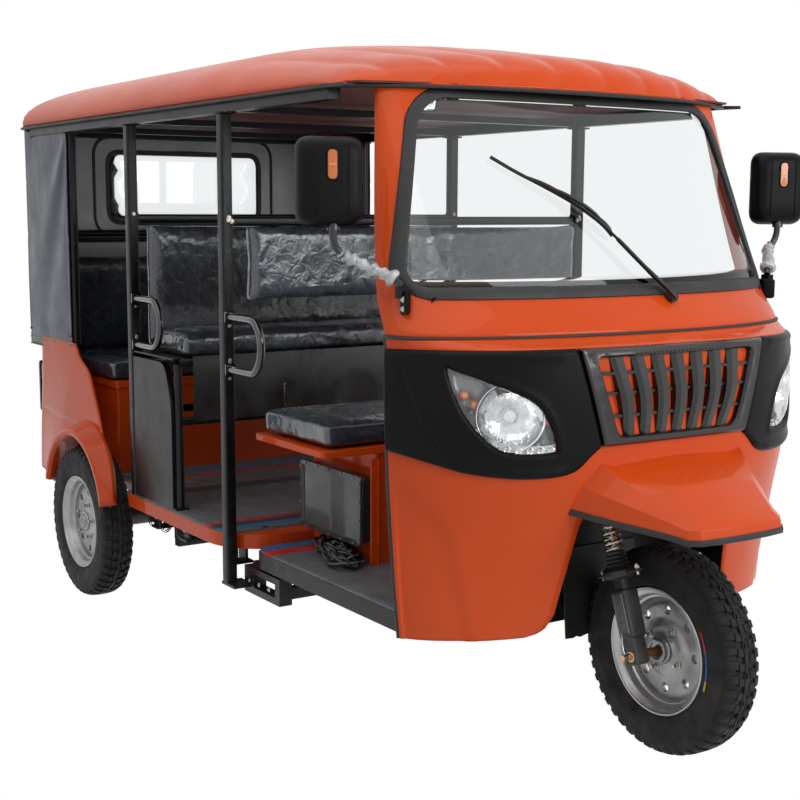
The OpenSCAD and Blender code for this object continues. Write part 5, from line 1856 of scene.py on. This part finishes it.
def make_rear_bench():
    """The rear bench on its orange box."""
    lo, hi = node_box("rear_cushions")
    seat = node_box("rear_bench_base")[1].z
    base_lo, base_hi = node_box("rear_bench_base")
    pad("rear_seat_pad", (-580, lo.y, seat), (580, hi.y - 64, seat + 72), "body", "rear_cushions", seed=8,
        seams=(0.5,),
        bulge=10)
    pad("rear_back_pad", (-579, hi.y - 63, seat + 42), (579, hi.y - 1, 1160), "body", None, seed=9, face="Y",
        seams=(0.5,),
        bulge=11)
    shape = Shape()
    rows = []
    for z, grow in ((base_lo.z, 0), (base_hi.z - 26, 0), (base_hi.z - 24, 5), (base_hi.z - 2, 5),
                    (base_hi.z, 2), (base_hi.z, -30)):
        loop = cushion_loop(base_hi.x + grow, (base_hi.y - base_lo.y) / 2 + grow, 8, 3)
        rows.append([Vector((u, (base_lo.y + base_hi.y) / 2 + v, z)) for u, v in loop])
    shape.grid(rows, ring=True)
    shape.build("rear_bench_box", "body", "orange_paint", [paint()], ["rear_bench_base"], closed=False,
                crease=36)


# ---- rear body -------------------------------------------------------------------------------------


def make_rear_body():
    """Rear quarters with rolled arches, the tail panel, the back wall and its window."""
    top = node_box("rear_quarters")[1].z
    arch_y, arch_z, arch_r = REAR_AXLE.y + 10, TYRE_R + 42, TYRE_R + 8
    corner = 115.0
    tail = ROOF_HI.y - 40 - corner

    def front_edge(z):
        return between([(350, 1868), (392, 1880), (620, 2060), (700, 2140), (757, 2196), (770, 2222),
                        (800, 2300),
                        (844, 2356), (top + 1, 2362)], z)

    def width(z):
        return between([(350, 706), (392, 700), (560, 670), (720, 646), (770, 640), (top, 629), (top + 5, 628)],
                       z)

    def skin_x(y, z):
        tail_w = 641 - 11 * smooth((z - 400) / 400)
        return width(z) + (tail_w - width(z)) * smooth((y - 2360) / 400)

    def corner_row(z):
        edge = skin_x(tail, z) - corner
        return [Vector((edge + corner * math.cos(t), tail + corner * math.sin(t), z))
                for t in spread(0, math.pi / 2, 10)[1:]]

    shape = Shape()
    heights = spread(352, 640, 14) + spread(640, top, 14)[1:]
    rows = []
    for z in heights:
        first = front_edge(z)
        cut = None
        if z < arch_z + arch_r:
            half = math.sqrt(max(0.0, arch_r ** 2 - (z - arch_z) ** 2))
            cut = (arch_y - half, arch_y + half)
        rows.append((z, first, cut))
    low_z = arch_z + arch_r
    for fore in (True, False):
        part = []
        for z, first, cut in rows:
            if cut is None:
                if z > low_z + 24:
                    continue
                cut = (arch_y, arch_y)
            a, b = (first, cut[0]) if fore else (cut[1], tail)
            if fore and first > cut[0]:
                a = b
            row = [Vector((skin_x(y, z), y, z)) for y in spread(a, b, 16)]
            part.append(row if fore else row + corner_row(z))
        shape.grid(part)
    upper = [z for z, _, cut in rows if cut is None]
    part = []
    for z in upper:
        part.append([Vector((skin_x(y, z) + 2.0 * math.sin(math.pi * k / 44) * smooth((z - 600) / 60), y, z))
                     for k, y in enumerate(spread(front_edge(z), tail, 44))] + corner_row(z))
    shape.grid(part)
    lip = []
    for deg in spread(-14, 200, 60):
        t = math.radians(deg)
        y, z = arch_y + arch_r * math.cos(t), arch_z + arch_r * math.sin(t)
        if z < 352:
            continue
        w = skin_x(y, z)
        out = Vector((0, math.cos(t), math.sin(t)))
        base = Vector((w - 6, y, z)) + out * 34
        lip.append([base, base + Vector((10, 0, 0)) - out * 3, Vector((w + (734 - w) * 0.6, y, z)) + out * 16,
                    Vector((730, y, z)) + out * 10, Vector((735, y, z)) + out * 4,
                    Vector((734, y, z)) - out * 6,
                    Vector((726, y, z)) - out * 12, Vector((w - 30, y, z)) - out * 10])
    shape.grid(lip)
    shape.mirrored().build("quarter_skins", "body", "orange_paint", [paint()], ["rear_quarters"], closed=False,
                           thickness=2.5, weld=0.6, crease=30)
    edges = Shape()
    line = [Vector((width(z) - 1, front_edge(z) - 1, z)) for z in spread(392, top, 30)]
    edges.tube(line, 5.5, 8)
    top_line = [Vector((630, y, top + 2)) for y in spread(front_edge(top), tail, 12)]
    edges.tube(top_line, 4, 8)
    edges.mirrored().build("quarter_beads", "body", "orange_paint", [paint()])

    wall = Shape()
    y = WALL_LO.y
    win = cushion_loop(330, 140, 56, 6)
    window_mid = 1404
    outline = [(-604, WALL_LO.z), (604, WALL_LO.z), (604, WALL_HI.z), (-604, WALL_HI.z)]
    hole = [(u, window_mid + v) for u, v in win]
    points, faces, _ = filled(outline, [hole], 46.0, (12.0,))
    wall.add([Vector((p.x, y + 2.0 * noise.noise(Vector((p.x * 0.006, p.y * 0.006, 0))), p.y))
              for p, d in points], faces)
    wall.build("back_wall", "body", "wall_grey", [wall_grey()], ["rear_wall"], closed=False, thickness=-8.0,
               crease=60)
    seal = Shape()
    rows = []
    for g, d in ((6, 12), (9, -2), (6, -8), (0, -10), (-8, -8), (-12, -2), (-11, 9), (-6, 16)):
        loop = cushion_loop(330 + g, 140 + g, 56 + g, 6)
        rows.append([Vector((u, y + d, window_mid + v)) for u, v in loop])
    seal.grid(rows + rows[:1], ring=True)
    ring = [Vector((u, y - 6, window_mid + 6 + v)) for u, v in cushion_loop(382, 186, 76, 8)]
    seal.tube(ring, 7, 8, closed=True)
    seal.build("window_seal", "body", "rubber_trim", [seal_rubber()], crease=44)
    pane = Shape()
    points, faces, _ = filled([(u, v) for u, v in cushion_loop(326, 136, 52, 6)], [], 60.0)
    pane.add([Vector((p.x, y + 6, window_mid + p.y)) for p, d in points], faces)
    pane.build("window_pane", "body", "window_glass", [window_glass()], ["rear_window"], closed=False,
               thickness=4.0, crease=80)
    tubes = Shape()
    for z, r in ((1230, 13), (1205, 9), (1600, 11)):
        tubes.tube([Vector((x, y - 22, z)) for x in spread(-600, 600, 10)], r, 12)
    for x in (-604, 604):
        tubes.tube([Vector((x, y - 18, z)) for z in spread(WALL_LO.z, WALL_HI.z - 6, 8)], 10, 10)
    tubes.build("wall_tubes", "body", "black_steel", [black_paint()])
    strip = Shape()
    strip.grid([[Vector((x, y - 4 - 3 * math.sin(math.pi * k / 6), 1176 + 7 * k / 6)) for k in range(7)]
                for x in spread(-590, 590, 10)])
    strip.build("wall_strip", "body", "rim_silver",
                [finish("Bright strip", (0.6, 0.6, 0.62), rough=0.25, metal=0.6, tone=0.2,
                                                            tone_scale=9.0, waves=(12.0, 1.0))], closed=False)
    panel = Shape()
    p_lo, p_hi = node_box("rear_panel")
    rows = []
    for z in spread(p_lo.z, p_hi.z, 18):
        rows.append([Vector((x,
                             p_hi.y + 5 * math.exp(-((z - 520) / 26) ** 2)
                              + 5 * math.exp(-((z - 760) / 26) ** 2)
                             - 6 * smooth((abs(x) - 495) / 20), z)) for x in spread(-517, 517, 60)])
    panel.grid(rows)
    panel.build("tail_skin", "body", "orange_paint", [paint()], ["rear_panel"], closed=False, thickness=-3.0,
                crease=30)


def make_curtains():
    """Vinyl side curtains stretched from the roof rail down to the quarters, hemmed, with studs."""
    studs = Shape()
    for side, label in ((1, "left"), (-1, "right")):
        rows = []
        for i, z in enumerate(spread(812, 1612, 80)):
            t = i / 80
            row = []
            for k, y in enumerate(spread(2392, 2832, 56)):
                s = k / 56
                puff = 4.0 * math.sin(math.pi * s) * math.sin(math.pi * t) ** 0.6
                # folds fan out from the top front corner
                turn = math.atan2(1.0 - t + 0.03, s + 0.03)
                far = math.hypot(s, (1 - t) * 1.8)
                fan = (5.5 * math.sin(turn * 9 + 1.5 * far)
                       * math.exp(-((turn - 0.9) / 0.42) ** 2) * smooth(far / 0.4))
                fan *= smooth((1.9 - far) / 0.8)
                cross = (-1.8 * math.exp(-((t - 0.50 - 0.02 * s) / 0.012) ** 2)
                         - 1.2 * math.exp(-((t - 0.76) / 0.01) ** 2))
                ripple = 1.6 * noise.noise(Vector((y * 0.010, z * 0.005, side * 3.0)))
                hem = 1.2 * (math.exp(-((s - 0.045) / 0.012) ** 2) + math.exp(-((s - 0.955) / 0.012) ** 2))
                low = 2.2 * math.exp(-((z - 862) / 3.0) ** 2)
                row.append(Vector((side * (627 + puff + fan + cross + ripple - hem - low), y, z)))
            rows.append(row)
        piece = Shape().grid(rows).build("curtain_" + label, "body", "curtain_vinyl", [curtain_vinyl()],
                                         ["side_curtains"], closed=False, thickness=1.2, crease=180)
        for y in (2400, 2824):
            bolt(studs, (side * 630, y, 872), (side, 0, 0), 4.2, 3.5, 2)
        cord = [Vector((side * 631, y, 841)) for y in spread(2396, 2828, 12)]
        studs.tube(cord, 2.2, 6, 1)
        studs.tube([p + Vector((0, 0, -26)) for p in cord], 2.2, 6, 1)
    studs.build("curtain_studs", "body", "rim_silver",
                [bright_steel(), flat_colour("Curtain edge", (0.30, 0.34, 0.10), 0.5), seal_rubber()],
                crease=25)


def make_tail():
    """Tail lamps with ribbed lenses in black bezels, and the tube bumper."""
    lamps, bezel = Shape(), Shape()
    lo, hi = node_box("tail_lamps")
    for side in (-1, 1):
        x0 = side * 560
        back = lo.y
        for z1, z2, slot in ((562, 618, 1), (620, 680, 0), (682, 738, 2)):
            rows = []
            for g, d in ((0, 0), (0, 20), (-3, 27), (-9, 30), (-20, 31.5), (-27.5, 32)):
                loop = cushion_loop(38 + g, (z2 - z1) / 2 + g, 8, 3)
                rows.append([Vector((x0 + u, back + d, (z1 + z2) / 2 + v)) for u, v in loop])
            lamps.grid(rows, slot, ring=True)
        rows = []
        for g, d in ((8, 0), (8, 14), (4, 20), (1, 20), (1, 2)):
            loop = cushion_loop(40 + g, 90 + g, 12, 4)
            rows.append([Vector((x0 + u, back + d, 650 + v)) for u, v in loop])
        bezel.grid(rows, ring=True)
    red = finish("Red lens", (0.45, 0.008, 0.006), rough=0.12, tone=0.1, coat=0.8, waves=(220.0, 0.6))
    amber = finish("Amber lens", (0.75, 0.20, 0.01), rough=0.12, tone=0.1, coat=0.8, waves=(220.0, 0.6))
    pale = finish("White lens", (0.62, 0.62, 0.60), rough=0.12, tone=0.1, coat=0.8, waves=(220.0, 0.6))
    lamps.build("tail_lenses", "body", "tail_red", [red, pale, amber], ["tail_lamps"], closed=False, crease=40)
    bezel.build("tail_bezels", "body", "black_plastic", [moulding()], closed=False, crease=40)
    bar = Shape()
    lo, hi = node_box("rear_bumper")
    y = hi.y - 22
    line = through([(-578, y - 16, 380), (-540, y - 3, 380), (-400, y, 380), (0, y, 380), (400, y, 380),
                    (540, y - 3, 380),
                    (578, y - 16, 380)], 6)
    bar.tube(line, 21, 20)
    for side in (-1, 1):
        bar.box((side * 325 - 22, WALL_LO.y - 40, 312), (side * 325 + 22, y, 348))
        bar.box((side * 325 - 22, y - 16, 312), (side * 325 + 22, y + 14, 384))
    rows = []
    for g, d in ((0, 0), (0, 4), (-2, 5), (-40, 5), (-58, 5)):
        loop = cushion_loop(128 + g, 61 + g, 6, 3)
        rows.append([Vector((u, y - 5 + d, 459 + v)) for u, v in loop])
    bar.grid(rows, 1, ring=True)
    bar.build("bumper_tube", "body", "black_steel",
              [black_paint(), flat_colour("Blank plate holder", (0.03, 0.03, 0.03), 0.4)],
              ["rear_bumper"], crease=30)


def make_wiper():
    """The wiper: pivot, spring-backed arm and a blade of several links."""
    arm = Shape()

    def spot(x, z, out):
        return on_front(x, z, SCREEN, out)

    foot = (96, 1112)
    arm.tube([spot(*foot, -2), spot(*foot, 22)], [15, 12], 16)
    arm.tube([spot(*foot, 16), spot(*foot, 27)], [10, 6], 12)
    path = [spot(*foot, 20), spot(78, 1134, 24), spot(31, 1183, 27), spot(-31, 1256, 27), spot(-79, 1306, 26),
            spot(-140, 1352, 22)]
    arm.tube(through(path, 6), 6.0, 8, flat=0.6)
    arm.tube(through(path[:4], 6), [10] * 6 + [9] * 6 + [8] * 6 + [7], 8, flat=0.7)
    blade = [spot(x, z, 9) for x, z in ((-323, 1451), (-263, 1416), (-188, 1379), (-113, 1338), (-53, 1294),
                                        (-28, 1262))]
    blade = through(blade, 5)
    arm.tube(blade, 4.0, 6)
    arm.tube([p + Vector((0, 3, -2)) for p in blade], 2.4, 6)
    for ends, rise in (((0.30, 0.62), 9), ((0.66, 0.97), 9), ((0.42, 0.86), 16)):
        a, b = (int(e * (len(blade) - 1)) for e in ends)
        m = (a + b) // 2
        out = Vector((0, -1, 0.3))
        arm.tube(through([blade[a], blade[(a + m) // 2] + out * rise * 0.8, blade[m] + out * rise,
                          blade[(b + m) // 2] + out * rise * 0.8, blade[b]], 4), 5.0, 6)
    arm.build("wiper_arm", "body", "black_steel",
              [finish("Wiper paint", (0.012, 0.012, 0.012), rough=0.35, tone=0.2, grain=(300.0, 0.05))],
              ["windscreen_wiper"], crease=50)


def dress_frame():
    """Finishes for the nodes shown as they come from the CAD."""
    looks = {
        "chassis_frame": black_paint(), "rear_axle": cast_black(), "leaf_springs": black_paint(),
        "drive_motor": motor_grey(), "passenger_floor": paint(), "driver_floor": black_paint(),
        "wheel_well": black_paint(), "dashboard": moulding(), "roof_frame": black_paint(),
             "roof_liner": liner_brown(),
    }
    for node, look in looks.items():
        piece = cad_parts[node]
        piece.data.materials.clear()
        piece.data.materials.append(look)


# ---- stage, light and camera ---------------------------------------------------------------


def showing_white(tree):
    """1 for the rays that see the white background: the camera's, and those off metal or through glass."""
    path = tree.nodes.new("ShaderNodeLightPath")
    seen = path.outputs["Is Camera Ray"]
    for ray in ("Is Glossy Ray", "Is Transmission Ray"):
        either = tree.nodes.new("ShaderNodeMath")
        either.operation = "MAXIMUM"
        tree.links.new(seen, either.inputs[0])
        tree.links.new(path.outputs[ray], either.inputs[1])
        seen = either.outputs[0]
    return seen


def backdrop(kit):
    """The floor as the camera sees it: its own shadows near the vehicle, plain white farther out."""
    near = kit.new("ShaderNodeVectorMath", operation="LENGTH")
    kit.link(kit.place, near.inputs[0])
    away = kit.span(near.outputs["Value"], 2.2, 5.5, 0.0, 1.0)
    white = kit.new("ShaderNodeEmission")
    white.inputs["Strength"].default_value = 1.0
    mix = kit.new("ShaderNodeMixShader")
    kit.link(kit.math("MULTIPLY", away, showing_white(kit.tree)), mix.inputs["Fac"])
    kit.link(kit.shader.outputs["BSDF"], mix.inputs[1])
    kit.link(white.outputs["Emission"], mix.inputs[2])
    output = next(n for n in kit.tree.nodes if n.type == "OUTPUT_MATERIAL")
    kit.link(mix.outputs["Shader"], output.inputs["Surface"])


def make_stage():
    """A pale floor, a white surround, soft lamps and the camera."""
    scene = bpy.context.scene
    setup = scene.rickshaw_stage
    world = bpy.data.worlds.new("Studio")
    scene.world = world
    world.use_nodes = True
    tree = world.node_tree
    soft = tree.nodes["Background"]
    soft.inputs["Color"].default_value = (0.90, 0.90, 0.92, 1)
    soft.inputs["Strength"].default_value = setup.surround
    white = tree.nodes.new("ShaderNodeBackground")
    white.inputs["Color"].default_value = (1, 1, 1, 1)
    white.inputs["Strength"].default_value = 1.0
    mix = tree.nodes.new("ShaderNodeMixShader")
    output = next(n for n in tree.nodes if n.type == "OUTPUT_WORLD")
    tree.links.new(showing_white(tree), mix.inputs["Fac"])
    tree.links.new(soft.outputs["Background"], mix.inputs[1])
    tree.links.new(white.outputs["Background"], mix.inputs[2])
    tree.links.new(mix.outputs["Shader"], output.inputs["Surface"])

    mesh = bpy.data.meshes.new("floor")
    far = 60.0
    mesh.from_pydata([(-far, -far, 0), (far, -far, 0), (far, far, 0), (-far, far, 0)], [], [(0, 1, 2, 3)])
    floor = bpy.data.objects.new("floor", mesh)
    scene.collection.objects.link(floor)
    kit = Nodes("Floor")
    kit.link(kit.ramp(kit.noise(0.8, 4.0), [(0.3, (0.60, 0.60, 0.61)), (0.7, (0.63, 0.63, 0.64))]),
             kit.shader.inputs["Base Color"])
    kit.shader.inputs["Roughness"].default_value = 0.8
    backdrop(kit)
    mesh.materials.append(kit.material)

    def lamp(name, place, aim, size, power, colour=(1, 1, 1)):
        data = bpy.data.lights.new(name, "AREA")
        data.shape = "RECTANGLE"
        data.size, data.size_y = size
        data.energy = power
        data.color = colour
        light = bpy.data.objects.new(name, data)
        light.location = place
        light.rotation_euler = (Vector(aim) - Vector(place)).to_track_quat("-Z", "Y").to_euler()
        scene.collection.objects.link(light)

    lamp("sky", (-1.2, -1.0, 5.2), (0, 0, 0.8), (5.0, 6.5), setup.overhead)
    lamp("front", (1.6, -6.0, 2.6), (0, -0.6, 0.9), (3.6, 2.6), setup.front)
    lamp("side", (-6.0, -1.2, 2.4), (0, 0.2, 0.9), (4.0, 2.4), setup.side)

    data = bpy.data.cameras.new("camera")
    camera = bpy.data.objects.new("camera", data)
    scene.collection.objects.link(camera)
    data.sensor_width = 36.0
    data.lens = setup.lens
    data.shift_x, data.shift_y = setup.shift
    yaw, pitch, roll = (math.radians(a) for a in (setup.yaw, setup.pitch, setup.roll))
    ahead = Vector((math.sin(yaw) * math.cos(pitch), math.cos(yaw) * math.cos(pitch), -math.sin(pitch)))
    right = Vector((math.cos(yaw), -math.sin(yaw), 0))
    up = right.cross(ahead)
    right, up = right * math.cos(roll) + up * math.sin(roll), up * math.cos(roll) - right * math.sin(roll)
    turn = Matrix((right, up, -ahead)).transposed().to_4x4()
    turn.translation = Vector(at(*setup.eye))
    camera.matrix_world = turn
    scene.camera = camera
    scene.view_settings.view_transform = "Standard"


# ---- add-on ----------------------------------------------------------------------------------


class RickshawFinish(bpy.types.PropertyGroup):
    """Colours of the vehicle."""

    paint: FloatVectorProperty(name="Paint", description="Colour of the painted body panels", subtype="COLOR",
                               size=3, min=0, max=1, default=(0.74, 0.080, 0.007))


class RickshawDetail(bpy.types.PropertyGroup):
    """Numbers of the repeated details."""

    tread_blocks: IntProperty(name="Tread blocks", description="Blocks round each row of a tyre's tread",
                              default=46,
                              min=20)
    leaf_bands: IntProperty(name="Roof scallops", description="Shallow lobes along the roof's front edge",
                            default=9,
                            min=1)


class RickshawStage(bpy.types.PropertyGroup):
    """Light and camera."""

    surround: FloatProperty(name="Surround", description="Strength of the light from all round", default=0.30,
                            min=0)
    overhead: FloatProperty(name="Overhead", description="Power of the overhead lamp", default=100, min=0)
    front: FloatProperty(name="Front", description="Power of the lamp ahead of the vehicle", default=140, min=0)
    side: FloatProperty(name="Side", description="Power of the lamp beside the vehicle", default=14, min=0)
    lens: FloatProperty(name="Lens", description="Focal length in millimetres", default=63.05, min=1)
    shift: FloatVectorProperty(name="Shift", description="Lens shift", size=2, default=(-0.0025, 0.0138))
    eye: FloatVectorProperty(name="Eye",
                             description="Camera place: left, rearward of the front axle and up, in mm",
                             size=3, default=(-2381, -2422, 1325))
    yaw: FloatProperty(name="Yaw", description="Turn of the view from rearward towards the left, in degrees",
                       default=33.32)
    pitch: FloatProperty(name="Pitch", description="Tilt of the view below the horizon, in degrees",
                         default=8.19)
    roll: FloatProperty(name="Roll", description="Roll of the view, in degrees", default=0.21)


class RICKSHAW_OT_shells(bpy.types.Operator):
    """Builds the painted front shells and the belt bead"""

    bl_idname = "rickshaw.shells"
    bl_label = "Front shells"

    def execute(self, context):
        make_lower_shell()
        make_upper_shell()
        return {"FINISHED"}


class RICKSHAW_OT_windscreen(bpy.types.Operator):
    """Builds the windscreen, its seal and the wiper"""

    bl_idname = "rickshaw.windscreen"
    bl_label = "Windscreen"

    def execute(self, context):
        make_windscreen()
        make_wiper()
        return {"FINISHED"}


class RICKSHAW_OT_face(bpy.types.Operator):
    """Builds the masks, headlamps, grille and beak"""

    bl_idname = "rickshaw.face"
    bl_label = "Masks, lamps, grille and beak"

    def execute(self, context):
        make_masks()
        make_headlamps()
        make_grille()
        make_beak()
        return {"FINISHED"}


class RICKSHAW_OT_roof(bpy.types.Operator):
    """Builds the roof and its drip rail"""

    bl_idname = "rickshaw.roof"
    bl_label = "Roof"

    def execute(self, context):
        make_roof()
        return {"FINISHED"}


class RICKSHAW_OT_mirrors(bpy.types.Operator):
    """Builds the mirrors with their arms and clamps"""

    bl_idname = "rickshaw.mirrors"
    bl_label = "Mirrors"

    def execute(self, context):
        make_mirrors()
        return {"FINISHED"}


class RICKSHAW_OT_frame(bpy.types.Operator):
    """Builds the posts, rails, handles and their clamps"""

    bl_idname = "rickshaw.frame"
    bl_label = "Posts, rails and handles"

    def execute(self, context):
        make_posts()
        make_handles()
        make_underbody()
        return {"FINISHED"}


class RICKSHAW_OT_wheels(bpy.types.Operator):
    """Builds the three tyres and rims"""

    bl_idname = "rickshaw.wheels"
    bl_label = "Wheels"

    def execute(self, context):
        make_wheels()
        return {"FINISHED"}


class RICKSHAW_OT_steering(bpy.types.Operator):
    """Builds the fork, its springs and the handlebar"""

    bl_idname = "rickshaw.steering"
    bl_label = "Steering"

    def execute(self, context):
        make_fork()
        make_handlebar()
        return {"FINISHED"}


class RICKSHAW_OT_driver(bpy.types.Operator):
    """Builds the driver's bench, the control box and the floor covering"""

    bl_idname = "rickshaw.driver"
    bl_label = "Driver's place"

    def execute(self, context):
        make_driver_place()
        make_control_box()
        make_mats()
        return {"FINISHED"}


class RICKSHAW_OT_benches(bpy.types.Operator):
    """Builds the middle and rear benches"""

    bl_idname = "rickshaw.benches"
    bl_label = "Passenger benches"

    def execute(self, context):
        make_middle_bench()
        make_rear_bench()
        return {"FINISHED"}


class RICKSHAW_OT_rear(bpy.types.Operator):
    """Builds the rear body, the back wall, the curtains and the tail"""

    bl_idname = "rickshaw.rear"
    bl_label = "Rear body"

    def execute(self, context):
        make_rear_body()
        make_curtains()
        make_tail()
        return {"FINISHED"}


class RICKSHAW_OT_finishes(bpy.types.Operator):
    """Gives the carried-over parts their finishes"""

    bl_idname = "rickshaw.finishes"
    bl_label = "Carried-over parts"

    def execute(self, context):
        dress_frame()
        return {"FINISHED"}


class RICKSHAW_OT_stage(bpy.types.Operator):
    """Builds the floor, the light and the camera"""

    bl_idname = "rickshaw.stage"
    bl_label = "Stage"

    def execute(self, context):
        make_stage()
        return {"FINISHED"}


GROUPS = (RickshawFinish, RickshawDetail, RickshawStage)
STEPS = (
    RICKSHAW_OT_stage, RICKSHAW_OT_shells, RICKSHAW_OT_windscreen, RICKSHAW_OT_face, RICKSHAW_OT_roof,
    RICKSHAW_OT_mirrors, RICKSHAW_OT_frame, RICKSHAW_OT_wheels, RICKSHAW_OT_steering, RICKSHAW_OT_driver,
    RICKSHAW_OT_benches, RICKSHAW_OT_rear, RICKSHAW_OT_finishes,
)


class RICKSHAW_PT_panel(bpy.types.Panel):
    """The sidebar panel that lists every step"""

    bl_label = "Auto rickshaw"
    bl_idname = "RICKSHAW_PT_panel"
    bl_space_type = "VIEW_3D"
    bl_region_type = "UI"
    bl_category = "Rickshaw"

    def draw(self, context):
        layout = self.layout
        scene = context.scene
        for title, group in (("Finish", scene.rickshaw_finish), ("Detail", scene.rickshaw_detail),
                             ("Stage", scene.rickshaw_stage)):
            box = layout.box()
            box.label(text=title)
            for prop in group.__annotations__:
                box.prop(group, prop)
        for step in STEPS:
            layout.operator(step.bl_idname)


def register():
    for each in GROUPS + STEPS + (RICKSHAW_PT_panel,):
        bpy.utils.register_class(each)
    bpy.types.Scene.rickshaw_finish = PointerProperty(type=RickshawFinish)
    bpy.types.Scene.rickshaw_detail = PointerProperty(type=RickshawDetail)
    bpy.types.Scene.rickshaw_stage = PointerProperty(type=RickshawStage)


def unregister():
    del bpy.types.Scene.rickshaw_stage
    del bpy.types.Scene.rickshaw_detail
    del bpy.types.Scene.rickshaw_finish
    for each in reversed(GROUPS + STEPS + (RICKSHAW_PT_panel,)):
        bpy.utils.unregister_class(each)


def main():
    register()
    for step in STEPS:
        family, action = step.bl_idname.split(".")
        if getattr(getattr(bpy.ops, family), action)() != {"FINISHED"}:
            raise RuntimeError(f"{step.bl_label} did not finish")


if __name__ == "__main__":
    main()
